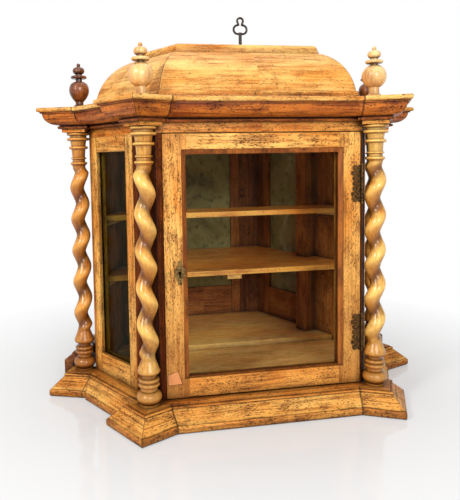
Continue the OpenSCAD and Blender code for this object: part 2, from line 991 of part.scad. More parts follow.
// The pear swells from a slim foot and ends in a flatter shoulder
module finial_pear() {
    low = pear_z - pear_neck_z;
    rotate_extrude() {
        finial_foot();
        drum(7.3, 7, pear_z);
        polygon([
            [0, pear_neck_z],
            for (j = [0:pear_steps]) [
                7.3 + (pear_r - 7.3) * (1 - pow(1 - j / pear_steps, 1.9)),
                pear_neck_z + low * j / pear_steps
            ],
            for (j = [1:pear_steps]) [
                6 + (pear_r - 6) * pow(cos(90 * j / pear_steps), 0.75),
                pear_z + pear_top_h * sin(90 * j / pear_steps)
            ],
            [0, pear_z + pear_top_h]
        ]);
        finial_top(pear_z);
    }
}

module on_block(k) {
    translate([column_at[k][0] + finial_shift[k], column_at[k][1], roof_z]) children();
}

module finials() {
    color("gold") for (k = [0, 1]) on_block(k) finial_ball();
}

module finial_dark() {
    color("saddlebrown") for (k = [2, 3]) on_block(k) finial_pear();
}

// Door
door_z = wall_z + door_air;
door_h = opening_h - 2 * door_air;
door_w = door_right - door_left;
rebate_d = 14;
tenon_t = 8;
tenon_h = 15;
tenon_air = 0.1;
tenon_z = 6;
sight_x = door_left + stile_w;
sight_w = door_w - 2 * stile_w;
sight_z = door_z + rail_h;
sight_h = door_h - 2 * rail_h;

module at_door() {
    translate([door_left, 0, door_z]) children();
}

// The rebate that the glass and its bead sit in, open to the front
module door_rebate() {
    translate([sight_x - glazing_w, -1, sight_z - sill_w])
        cube([sight_w + 2 * glazing_w, rebate_d + 1, sight_h + sill_w + glazing_w]);
}

module tenon(z, air) {
    translate([door_left - air, (door_t - tenon_t) / 2 - air, z - air])
        cube([door_w + 2 * air, tenon_t + 2 * air, tenon_h + 2 * air]);
}

bottom_tenon_z = door_z + tenon_z;
top_tenon_z = door_z + door_h - tenon_z - tenon_h;

module door_stile(x) {
    difference() {
        translate([x, 0, door_z]) cube([stile_w, door_t, door_h]);
        door_rebate();
        tenon(bottom_tenon_z, tenon_air);
        tenon(top_tenon_z, tenon_air);
    }
}

module keyhole_shape() {
    circle(2.6);
    translate([-1.3, -7.5]) square([2.6, 7.5]);
}

module door_stile_left() {
    color("peru") difference() {
        door_stile(door_left);
        translate([lock_x, door_t + 1, keyhole_z]) rotate([90, 0, 0])
            linear_extrude(door_t + 2) keyhole_shape();
    }
}

module door_stile_right() {
    color("peru") door_stile(door_right - stile_w);
}

module door_rail(z, tenon_at) {
    difference() {
        translate([sight_x, 0, z]) cube([sight_w, door_t, rail_h]);
        door_rebate();
    }
    tenon(tenon_at, 0);
}

module door_rail_top() {
    color("peru") door_rail(door_z + door_h - rail_h, top_tenon_z);
}

module door_rail_bottom() {
    color("peru") door_rail(door_z, bottom_tenon_z);
}

bead_air = 0.1;
bead_front = 1.5;
bead_slope = 3;

// Bead round the glass, mitred at the top, with a sloping face towards the glass
module door_bead() {
    w = glazing_w - bead_air;
    d = rebate_d - pane_t - bead_front - bead_air;
    x0 = sight_x - w;
    x1 = sight_x + sight_w + w;
    z0 = sight_z - sill_w + bead_air;
    z1 = sight_z + sight_h + w;
    module front_view(points) {
        rotate([90, 0, 0]) translate([0, 0, -d - 1]) linear_extrude(d + 2) polygon(points);
    }
    module upright() {
        linear_extrude(z1 + 1) polygon([[0, 0], [w, bead_slope], [w, d], [0, d]]);
    }
    color("sienna") translate([0, bead_front, 0]) {
        intersection() {
            translate([x0, 0, 0]) upright();
            front_view([[x0, z0], [x0 + w + 1, z0], [x0 + w + 1, z1 - w - 1], [x0, z1]]);
        }
        intersection() {
            translate([x1, 0, 0]) mirror([1, 0, 0]) upright();
            front_view([[x1, z0], [x1 - w - 1, z0], [x1 - w - 1, z1 - w - 1], [x1, z1]]);
        }
        intersection() {
            translate([x0 - 1, 0, z1]) rotate([90, 0, 90]) linear_extrude(x1 - x0 + 2)
                polygon([[0, 0], [d, 0], [d, -w], [bead_slope, -w]]);
            front_view([[x0, z1], [x0 + w + 1, z1 - w - 1], [x1 - w - 1, z1 - w - 1], [x1, z1]]);
        }
        translate([x0 + 1, bead_slope, z0]) cube([x1 - x0 - 2, d - bead_slope, sill_w - bead_air]);
    }
}

module door_pane() {
    w = glazing_w - pane_air;
    color("lightcyan", 0.4)
        translate([sight_x - w, rebate_d - pane_t, sight_z - sill_w])
            cube([sight_w + 2 * w, pane_t, sight_h + sill_w + w]);
}

// Hinges: the pin line stands in front of the gap beside the door
leaf_t = 1;
plate_t = 1.2;
plate_w = 16.5;
hinge_x = door_right + knuckle_r;
hinge_y = -knuckle_r - 0.4;
hinge_part = hinge_h / 3;

module knuckle(z, h, hole_r) {
    translate([hinge_x, hinge_y, z]) difference() {
        cylinder(h = h, r = knuckle_r);
        translate([0, 0, -1]) cylinder(h = h + 2, r = hole_r);
    }
}

module fixed_leaf(z) {
    translate([post_front_r, 0, z - hinge_h / 2]) cube([leaf_t, wall_t - 2, hinge_h]);
}

module hinge_fixed(z) {
    part = hinge_part - knuckle_gap;
    fixed_leaf(z);
    for (z0 = [z - hinge_h / 2, z + hinge_h / 2 - part]) {
        knuckle(z0, part, pin_r + pin_gap);
        translate([post_front_r, hinge_y + pin_r + pin_gap + 0.1, z0])
            cube([leaf_t, -hinge_y - pin_r - pin_gap - 0.1 + eps, part]);
    }
}

module hinges_fixed() {
    color("darkgoldenrod") {
        hinge_fixed(lower_hinge_z);
        hinge_fixed(upper_hinge_z);
    }
}

// A pierced plate of scrolls: lobes along a spine, with eyes cut through them
module hinge_plate() {
    lobe_r = 4.6;
    eye_r = 1.9;
    step = hinge_h / 7;
    difference() {
        union() {
            translate([plate_w - 4, -hinge_h / 2]) square([4, hinge_h]);
            for (j = [-3:3]) {
                reach = plate_w - lobe_r - (abs(j) == 2 ? 0 : 2.5);
                translate([plate_w - reach, j * step]) circle(lobe_r, $fn = 24);
            }
            translate([3, -hinge_h / 2 + 4]) square([plate_w - 4, hinge_h - 8]);
        }
        for (j = [-2.5:1:2.5]) translate([4.4, j * step]) circle(eye_r, $fn = 20);
        for (j = [-3:3]) translate([8.4, j * step]) circle(eye_r - 0.3, $fn = 20);
    }
}

module hinge_door(z) {
    translate([door_right - plate_w, 0, z]) rotate([90, 0, 0])
        linear_extrude(plate_t) hinge_plate();
    z0 = z - hinge_part / 2;
    knuckle(z0, hinge_part, pin_r + pin_gap);
    translate([door_right - 2, -plate_t, z0])
        cube([knuckle_r + 2, plate_t + hinge_y + knuckle_r, hinge_part]);
}

module hinges_door() {
    color("darkgoldenrod") {
        hinge_door(lower_hinge_z);
        hinge_door(upper_hinge_z);
    }
}

module hinge_pins() {
    head_h = 2.5;
    color("goldenrod") for (z = [lower_hinge_z, upper_hinge_z]) translate([hinge_x, hinge_y, 0]) {
        translate([0, 0, z - hinge_h / 2]) cylinder(h = hinge_h, r = pin_r);
        for (s = [z - hinge_h / 2 - head_h, z + hinge_h / 2])
            translate([0, 0, s]) cylinder(h = head_h, r = knuckle_r - 0.3);
    }
}

// Lock: lobed plate on the stile, case behind it, bolt that slides into the post
plate_half = 9.25;
plate_tall = 40;

module escutcheon_plan() {
    difference() {
        union() {
            circle(plate_half - 1);
            for (m = [-1, 1]) {
                translate([0, m * 8.5]) circle(5.6);
                translate([0, m * (plate_tall / 2 - 3.4)]) circle(3.4);
                for (n = [-1, 1]) translate([n * (plate_half - 2.6), m * 4.5]) circle(2.6);
            }
        }
        keyhole_shape();
    }
}

module escutcheon() {
    color("darkgoldenrod") translate([lock_x, 0, keyhole_z]) rotate([90, 0, 0])
        linear_extrude(plate_t) escutcheon_plan();
}

module lock_case() {
    color("gray") difference() {
        translate([case_left, door_t, keyhole_z - case_h / 2]) cube([case_w, case_d, case_h]);
        translate([case_left + case_wall, door_t + case_wall, keyhole_z - case_h / 2 + case_wall])
            cube([case_w - 2 * case_wall, case_d - 2 * case_wall, case_h - 2 * case_wall]);
        translate([case_left - 1, bolt_y - bolt_t / 2 - bolt_air, keyhole_z - bolt_h / 2 - bolt_air])
            cube([case_wall + 2, bolt_t + 2 * bolt_air, bolt_h + 2 * bolt_air]);
        translate([lock_x, door_t + 3, keyhole_z]) rotate([90, 0, 0])
            linear_extrude(4) keyhole_shape();
    }
}

bolt_tail_w = 5;
bolt_tail_h = 32;
bolt_in = 0.3;
bolt_tail_x = case_wall + bolt_throw + 0.5;

// Drawn back into the case; the tail stops against the case when the bolt is out
module lock_bolt() {
    color("lightgray") {
        translate([case_left + bolt_in, bolt_y - bolt_t / 2, keyhole_z - bolt_h / 2])
            cube([bolt_tail_x + bolt_tail_w - bolt_in, bolt_t, bolt_h]);
        translate([case_left + bolt_tail_x, bolt_y - bolt_t / 2, keyhole_z - bolt_tail_h / 2])
            cube([bolt_tail_w, bolt_t, bolt_tail_h]);
    }
}

module lock_keep() {
    color("darkgoldenrod")
        translate([door_left + lip_w - keep_t, door_t + lip_gap + 1, keyhole_z - keep_h / 2])
            difference() {
                cube([keep_t, lip_t - 2, keep_h]);
                translate([-1, bolt_y - bolt_t / 2 - bolt_air - door_t - lip_gap - 1,
                           keep_h / 2 - bolt_h / 2 - bolt_air])
                    cube([keep_t + 2, bolt_t + 2 * bolt_air, bolt_h + 2 * bolt_air]);
            }
}

// Key, parked upright in its hole in the top board
bit_t = 2.2;
bit_w = 9;
bit_air = 0.3;
bit_h = 11;
key_drop = 38;
bow_z = 35;
wire_r = 1.9;
collar_h = 2.5;

module wire_arc(cx, cz, r, from, to) {
    translate([cx, 0, cz]) rotate([90, 0, 0]) rotate(from)
        rotate_extrude(angle = to - from) translate([r, 0]) circle(wire_r, $fn = 16);
}

// A straight piece of the bow's wire between two points, a little longer at both ends
module wire_between(a, b) {
    lean = atan2(b[0] - a[0], b[1] - a[1]);
    translate([a[0], 0, a[1]]) rotate([0, lean, 0]) translate([0, 0, -0.6])
        cylinder(h = norm(b - a) + 1.2, r = wire_r, $fn = 16);
}

// The bow is one bent wire: two side lobes about z = bow_z and a taller top lobe
lobe_x = 4.4;
lobe_r = 7.8;
top_lobe_z = 15.2;
top_lobe_r = 5.4;

module key() {
    side_end = [-lobe_x + lobe_r * cos(80), bow_z + lobe_r * sin(80)];
    top_end = [-top_lobe_r * cos(40), bow_z + top_lobe_z - top_lobe_r * sin(40)];
    color("dimgray") translate([0, key_back, top_z + top_t]) {
        translate([0, 0, -key_drop]) cylinder(h = key_drop + bow_z - 5.5, r = shank_r);
        cylinder(h = collar_h, r = shank_r + 1.8);
        translate([-bit_t / 2, 0, -key_drop]) cube([bit_t, bit_w, bit_h]);
        wire_arc(-lobe_x, bow_z, lobe_r, 80, 305);
        wire_arc(lobe_x, bow_z, lobe_r, -125, 100);
        wire_arc(0, bow_z + top_lobe_z, top_lobe_r, -40, 220);
        for (m = [-1, 1]) wire_between([-m * side_end[0], side_end[1]], [-m * top_end[0], top_end[1]]);
    }
}

base_slab();
base_slope();
base_plinth();
rear_base_left();
rear_base_back();
rear_base_right();
floor_board();
raised_floor();
post_front_left();
post_front_right();
post_side_left();
post_side_right();
post_rear_left();
post_rear_right();
side_frame_left();
side_frame_right();
side_pane_left();
side_pane_right();
rear_board_left();
rear_board_right();
rear_frame_left();
rear_frame_right();
rear_pane_left();
rear_pane_right();
back_frame();
back_pane();
inner_post_left();
inner_post_right();
shelf_middle();
shelf_upper();
shelf_batten();
shelf_cleats();
column_front_left();
column_front_right();
column_side_left();
column_side_right();
frieze();
ceiling_board();
cornice_moulding();
cornice_board();
roof_frame();
dome_panels();
top_board();
finials();
finial_dark();
door_stile_left();
door_stile_right();
door_rail_top();
door_rail_bottom();
door_bead();
door_pane();
hinges_fixed();
hinges_door();
hinge_pins();
escutcheon();
lock_case();
lock_bolt();
lock_keep();
key();
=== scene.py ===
import math

import bpy
from mathutils import Matrix, Vector


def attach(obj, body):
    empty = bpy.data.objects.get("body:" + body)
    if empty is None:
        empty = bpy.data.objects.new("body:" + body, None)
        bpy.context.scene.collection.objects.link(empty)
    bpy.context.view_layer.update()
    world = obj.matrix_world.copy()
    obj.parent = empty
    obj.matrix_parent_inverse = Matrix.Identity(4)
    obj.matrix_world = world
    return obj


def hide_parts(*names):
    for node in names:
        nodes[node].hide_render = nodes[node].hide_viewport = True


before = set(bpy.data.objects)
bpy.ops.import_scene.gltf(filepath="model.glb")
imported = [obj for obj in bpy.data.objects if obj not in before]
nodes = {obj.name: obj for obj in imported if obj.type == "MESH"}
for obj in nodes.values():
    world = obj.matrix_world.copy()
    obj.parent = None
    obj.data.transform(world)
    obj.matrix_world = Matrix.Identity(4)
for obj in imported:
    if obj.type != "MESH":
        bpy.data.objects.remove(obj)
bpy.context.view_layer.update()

# Plan of the body, in metres, as in the part's source. Half of the front is FRONT_HALF wide, the side
# walls splay out from it, and the rear walls turn in from them to the back.
FRONT_HALF, SIDE_LEN, DEPTH = 0.180, 0.202, 0.488
SPLAY, TURN = math.radians(28), math.radians(22)
SIDE_X = FRONT_HALF + SIDE_LEN * math.sin(SPLAY)
SIDE_Y = SIDE_LEN * math.cos(SPLAY)

# The columns stand off the corners by these amounts, on blocks of their own
FRONT_OFF, SIDE_OFF = 0.018, 0.0215
FRONT_BLOCK = (FRONT_HALF + FRONT_OFF * math.cos(SPLAY), -FRONT_OFF * math.sin(SPLAY))
SIDE_BLOCK = (SIDE_X + SIDE_OFF * math.cos(TURN), SIDE_Y + SIDE_OFF * math.sin(TURN))
COLUMNS = {
    "column_front_left": (-FRONT_BLOCK[0], FRONT_BLOCK[1]),
    "column_front_right": FRONT_BLOCK,
    "column_side_right": SIDE_BLOCK,
    "column_side_left": (-SIDE_BLOCK[0], SIDE_BLOCK[1]),
}

# Grain: how far the roof's walls stand in, how far a block's core reaches from its column, and by how
# much a block has to lie nearer than the wall to be the block's. The shifts give the left half, the
# front and back, the blocks' outer faces, the rails and each seed a grain of their own.
ROOF_IN = 0.008
BLOCK_CORE, BLOCK_LEAD = 0.006, 0.0005
LEFT_SHIFT, ENDS_SHIFT, BLOCK_SHIFT, RAIL_SHIFT = 0.31, 0.53, 0.47, 1.7
SEED_SHIFT = (1.37, 2.11, 0.73)


def linear(r, g, b):
    """A colour given as 0 to 255 values, made linear."""
    out = []
    for c in (r, g, b):
        c /= 255
        out.append(c / 12.92 if c <= 0.04045 else ((c + 0.055) / 1.055) ** 2.4)
    return tuple(out) + (1.0,)


def scaled(colour, by):
    """A colour made darker or lighter by a factor, and linear."""
    return linear(*[min(255, by * c) for c in colour])


def between(a, b, share):
    """The colour that lies a share of the way from a to b, made linear."""
    return linear(*[(1 - share) * p + share * q for p, q in zip(a, b)])


class Nodes:
    """A node tree, with short ways to add nodes to it."""

    def __init__(self, tree):
        self.tree = tree

    def add(self, kind, inputs=None, **props):
        n = self.tree.nodes.new(kind)
        for key, value in props.items():
            setattr(n, key, value)
        for key, value in (inputs or {}).items():
            if isinstance(value, bpy.types.NodeSocket):
                self.tree.links.new(value, n.inputs[key])
            else:
                n.inputs[key].default_value = value
        return n

    def link(self, a, b):
        self.tree.links.new(a, b)

    def math(self, op, a, b=0.0):
        return self.add("ShaderNodeMath", {0: a, 1: b}, operation=op).outputs[0]

    def pick(self, flag, a, b):
        """The number b where flag is 1, and a where it is 0."""
        return self.add("ShaderNodeMix", {0: flag, 2: a, 3: b}, data_type="FLOAT").outputs[0]

    def dot(self, vector, x, y, z):
        n = self.add("ShaderNodeVectorMath", {0: vector, 1: (x, y, z)}, operation="DOT_PRODUCT")
        return n.outputs["Value"]

    def xyz(self, x, y, z):
        return self.add("ShaderNodeCombineXYZ", {0: x, 1: y, 2: z}).outputs[0]

    def noise(self, vector, scale, detail, rough, distortion=0.0):
        n = self.add("ShaderNodeTexNoise", {
            "Vector": vector, "Scale": scale, "Detail": detail,
            "Roughness": rough, "Distortion": distortion,
        })
        return n.outputs["Fac"]

    def step(self, value, low, high, to_low=0.0, to_high=1.0):
        """The value mapped from low and high to to_low and to_high, and held there outside them."""
        n = self.add("ShaderNodeMapRange", {
            "Value": value, "From Min": low, "From Max": high,
            "To Min": to_low, "To Max": to_high,
        }, clamp=True)
        return n.outputs[0]

    def mix(self, fac, a, b):
        """The colour b where fac is 1, and a where it is 0."""
        n = self.add("ShaderNodeMix", {0: fac, 6: a, 7: b}, data_type="RGBA", clamp_factor=True)
        return n.outputs[2]

    def closeness(self, distance, inside=False):
        """1 in the open and lower in a corner, or at an edge when it is seen from inside."""
        n = self.add("ShaderNodeAmbientOcclusion", {"Distance": distance}, samples=5, inside=inside)
        return n.outputs["AO"]

    def bump(self, height, strength, distance):
        n = self.add("ShaderNodeBump", {"Height": height, "Strength": strength, "Distance": distance})
        return n.outputs[0]

    def plain_rays(self):
        """1 for rays from the camera, straight, by a reflection or through glass, and 0 for the rest."""
        path = self.add("ShaderNodeLightPath").outputs
        seen = self.math("MAXIMUM", path["Is Camera Ray"], path["Is Transmission Ray"])
        return self.math("MAXIMUM", seen, path["Is Glossy Ray"])


class Look(Nodes):
    """A new material's node tree."""

    def __init__(self, name):
        self.mat = bpy.data.materials.new(name)
        self.mat.use_nodes = True
        super().__init__(self.mat.node_tree)
        self.bsdf = self.tree.nodes["Principled BSDF"]
        self.out = self.tree.nodes["Material Output"]
        self.coord = self.add("ShaderNodeTexCoord").outputs["Object"]

    def put(self, **values):
        """Sets inputs of the shader, one value all over or a socket, with _ for a space in a name."""
        for key, value in values.items():
            socket = self.bsdf.inputs[key.replace("_", " ")]
            if isinstance(value, bpy.types.NodeSocket):
                self.link(value, socket)
            else:
                socket.default_value = value

    def places(self):
        """The coordinates one by one, and as one vector with the left half laid over the right."""
        x, y, z = self.dot(self.coord, 1, 0, 0), self.dot(self.coord, 0, 1, 0), self.dot(self.coord, 0, 0, 1)
        return x, y, z, self.xyz(self.math("ABSOLUTE", x), y, z)


def wall_frame(m, inset):
    """Along and across the nearest wall, the height, and how near a mitre between two walls is."""
    x, y, z, flat = m.places()
    side_n = (math.cos(SPLAY), -math.sin(SPLAY))
    rear_n = (math.cos(TURN), math.sin(TURN))
    d_front = m.math("MULTIPLY", y, -1.0)
    d_side = m.math("ADD", m.dot(flat, *side_n, 0), inset - FRONT_HALF * side_n[0])
    d_rear = m.math("ADD", m.dot(flat, *rear_n, 0), inset - SIDE_X * rear_n[0] - SIDE_Y * rear_n[1])
    d_back = m.math("ADD", y, inset - DEPTH)
    ends = m.math("MAXIMUM", d_front, d_back)
    cants = m.math("MAXIMUM", d_side, d_rear)
    rear_wins = m.math("GREATER_THAN", d_rear, d_side)
    ends_win = m.math("GREATER_THAN", ends, cants)
    u_side = m.dot(flat, -side_n[1], side_n[0], 0)
    u_rear = m.dot(flat, -rear_n[1], rear_n[0], 0)
    u = m.pick(ends_win, m.pick(rear_wins, u_side, u_rear), x)
    v = m.pick(ends_win, cants, ends)
    u = m.math("ADD", u, m.math("MULTIPLY", m.math("SIGN", x), LEFT_SHIFT))
    u = m.math("ADD", u, m.math("MULTIPLY", ends_win, ENDS_SHIFT))
    gap = m.math("ABSOLUTE", m.math("SUBTRACT", ends, cants))
    gap_rear = m.math("ABSOLUTE", m.math("SUBTRACT", d_rear, d_side))
    gap_rear = m.math("ADD", gap_rear, ends_win)
    return u, v, z, m.math("MINIMUM", gap, gap_rear), flat


def base_frame(m):
    """The wall frame, with the square blocks under and over the columns as pieces of their own."""
    u, v, z, gap, flat = wall_frame(m, 0.0)
    for (cx, cy), angle in ((FRONT_BLOCK, -SPLAY), (SIDE_BLOCK, TURN)):
        ox, oy = math.cos(angle), math.sin(angle)
        outward = m.math("SUBTRACT", m.dot(flat, ox, oy, 0), cx * ox + cy * oy)
        sideways = m.math("ADD", m.dot(flat, -oy, ox, 0), cx * oy - cy * ox)
        out_size, side_size = m.math("ABSOLUTE", outward), m.math("ABSOLUTE", sideways)
        d = m.math("SUBTRACT", m.math("MAXIMUM", out_size, side_size), BLOCK_CORE)
        block = m.math("LESS_THAN", d, m.math("SUBTRACT", v, BLOCK_LEAD))
        faces_out = m.math("GREATER_THAN", out_size, side_size)
        shift = m.math("MULTIPLY", faces_out, BLOCK_SHIFT)
        block_u = m.math("ADD", m.pick(faces_out, outward, sideways), shift)
        meet = m.math("ABSOLUTE", m.math("SUBTRACT", out_size, side_size))
        edge = m.math("ABSOLUTE", m.math("SUBTRACT", d, v))
        gap = m.math("MINIMUM", m.pick(block, gap, meet), edge)
        u = m.pick(block, u, m.math("ADD", block_u, cx))
        v = m.pick(block, v, d)
    return u, v, z, gap


def frame_rails(m, angle, lines, z_low, z_high):
    """Upright grain, but along the wall in the rails, which lie between the two lines."""
    x, _, z, flat = m.places()
    s = m.dot(flat, math.cos(angle), math.sin(angle), 0)
    across = m.dot(flat, -math.sin(angle), math.cos(angle), 0)
    middle, half = (lines[0] + lines[1]) / 2, (lines[1] - lines[0]) / 2
    beside = m.math("SUBTRACT", m.math("ABSOLUTE", m.math("SUBTRACT", s, middle)), half)
    level, span = (z_low + z_high) / 2, (z_high - z_low) / 2
    over = m.math("SUBTRACT", m.math("ABSOLUTE", m.math("SUBTRACT", z, level)), span)
    inside = m.math("LESS_THAN", beside, 0.0)
    rail = m.math("MULTIPLY", inside, m.math("GREATER_THAN", over, 0.0))
    sign = m.math("MULTIPLY", m.math("SIGN", x), LEFT_SHIFT)
    u = m.math("ADD", m.pick(rail, z, m.math("ADD", s, RAIL_SHIFT)), sign)
    w = m.pick(rail, s, z)
    gap = m.math("ADD", m.math("ABSOLUTE", beside), m.math("LESS_THAN", over, 0.0))
    return u, across, w, gap


def grain_frame(m, along, seed):
    """The object's coordinates turned so that the first runs along the grain, and the nearest joint line."""
    p = m.coord
    gap = None
    if along == "z":
        place = m.dot(p, 0, 0, 1), m.dot(p, 1, 0, 0), m.dot(p, 0, 1, 0)
    elif along == "walls":
        *place, gap = base_frame(m)
    elif along == "roof":
        *place, gap, _ = wall_frame(m, ROOF_IN)
    elif isinstance(along, tuple):
        *place, gap = frame_rails(m, *along)
    else:
        a = math.radians(along)
        u, v = m.dot(p, math.cos(a), math.sin(a), 0), m.dot(p, -math.sin(a), math.cos(a), 0)
        place = u, v, m.dot(p, 0, 0, 1)
    return [m.math("ADD", c, seed * shift) for c, shift in zip(place, SEED_SHIFT)], gap


# The let-in repair at the foot of the left door stile: its corners as x and z in metres, its colours,
# and the distances from its edge where its line and its fill end, with their strengths
REPAIR_OUTLINE = [(-0.1636, 0.0804), (-0.1469, 0.0856), (-0.1399, 0.0641), (-0.1631, 0.0628)]
REPAIR_COLOUR, REPAIR_LINE_COLOUR = (226, 148, 92), (60, 26, 10)
REPAIR_LINE, REPAIR_FILL = (0.0002, 0.0012, 0.7, 0.0), (-0.0006, 0.0, 0.92, 0.0)


def repaired(m, colour):
    """The repair's colour inside its outline, with a dark line round it."""
    inside = None
    for i, a in enumerate(REPAIR_OUTLINE):
        b = REPAIR_OUTLINE[(i + 1) % len(REPAIR_OUTLINE)]
        ax, az = a[1] - b[1], b[0] - a[0]
        size = math.hypot(ax, az)
        reach = (ax * a[0] + az * a[1]) / size
        over = m.math("SUBTRACT", m.dot(m.coord, ax / size, 0, az / size), reach)
        inside = over if inside is None else m.math("MAXIMUM", inside, over)
    colour = m.mix(m.step(inside, *REPAIR_LINE), colour, linear(*REPAIR_LINE_COLOUR))
    return m.mix(m.step(inside, *REPAIR_FILL), colour, linear(*REPAIR_COLOUR))


# Wood noises: how much the grain is drawn out (a small number is long), scale, detail, roughness and
# distortion
BROAD = (0.30, 16.0, 3.0, 0.6, 0.0)
CLOUD = (0.55, 46.0, 4.0, 0.65, 0.0)
FINE = (0.045, 230.0, 5.0, 0.7, 0.4)
DASH = (0.42, 540.0, 3.0, 0.6, 0.0)
HOLE_STRETCH, HOLE_SCALE = 0.75, 150.0

# Wood layers: the range of the noise, distance or slope that a layer grows over, and its strengths at
# the range's ends where the piece doesn't give them
LIGHT_AREAS = (0.42, 0.60)
DEEP_AREAS = (0.48, 0.70, 0.0, 0.75)
LIGHT_STREAKS = (0.50, 0.37, 0.0, 0.55)
DARK_STREAKS = (0.50, 0.62)
PORES = (0.53, 0.61)
PORE_CROWDS = (0.36, 0.60, 0.35, 1.0)
HOLES = (0.11, 0.18, 1.0, 0.0)
HOLE_COLOUR, HOLE_SHARE, HOLE_STRENGTH = (34, 16, 6), 0.5, 0.9
# Rubbed edges made lighter: wear together with a painted highlight along the edges
WORN_HIGHLIT_REACH, WORN_HIGHLIT_EDGES, WORN_HIGHLIT_CLOUDS, WORN_HIGHLIT_LEAST = 0.0035, (0.80, 0.45), (0.30, 0.60), 0.35
# Turned work: painted shade in the hollows, a painted highlight on the crests and painted shade on faces that
# look down
HOLLOW_SHADE, CREST_HIGHLIGHT, UNDERSIDE_SHADE = (0.04, 0.60), (0.55, 0.95, 0.0, 0.5), (0.02, 0.55, 0.0, 0.75)
# Dark level lines where the mouldings meet: dark joints with painted shade in their creases
LINE_CORE, LINE_STRENGTH, LINE_BREAKS = 0.1, 0.7, (0.40, 0.62, 0.25, 1.0)
# The darker foot: painted shade of the light falling off towards the floor, with grime
LOW_RAGGED = 0.12
MITRES = (0.0003, 0.0011, 0.8, 0.0)
# Grime and painted shade: darker where other surfaces lie near, in corners and between parts
DIRT_AND_SHADE_REACH, DIRT_AND_SHADE = 0.018, (0.28, 0.96)

# Wood colours made from a palette: shares of the way from its tone to its dark, and factors
DEEP, MIDDLE = 0.65, 0.5
PORE_DARK, LINE_DARK, MITRE_DARK, DIRT_AND_SHADE_DARK, WORN_HIGHLIT_LIGHT = 0.72, 0.55, 0.4, 0.5, 1.06

# Wood surface: the parts of cloud and fine in the roughness, their range, how far it goes below and
# above the piece's own, and what pores add; then the heights of the layers, and the bump's strength
# and depth
SHEEN_PARTS, SHEEN_RANGE, SHEEN_REACH, SHEEN_PORES = (0.6, 0.4), (0.3, 0.7), (0.10, 0.14), 0.25
COAT_ROUGH = 0.2
FINE_HEIGHT, PORE_HEIGHT, BROAD_HEIGHT = 0.35, 0.6, 1.2
WOOD_BUMP = (0.55, 0.0007)


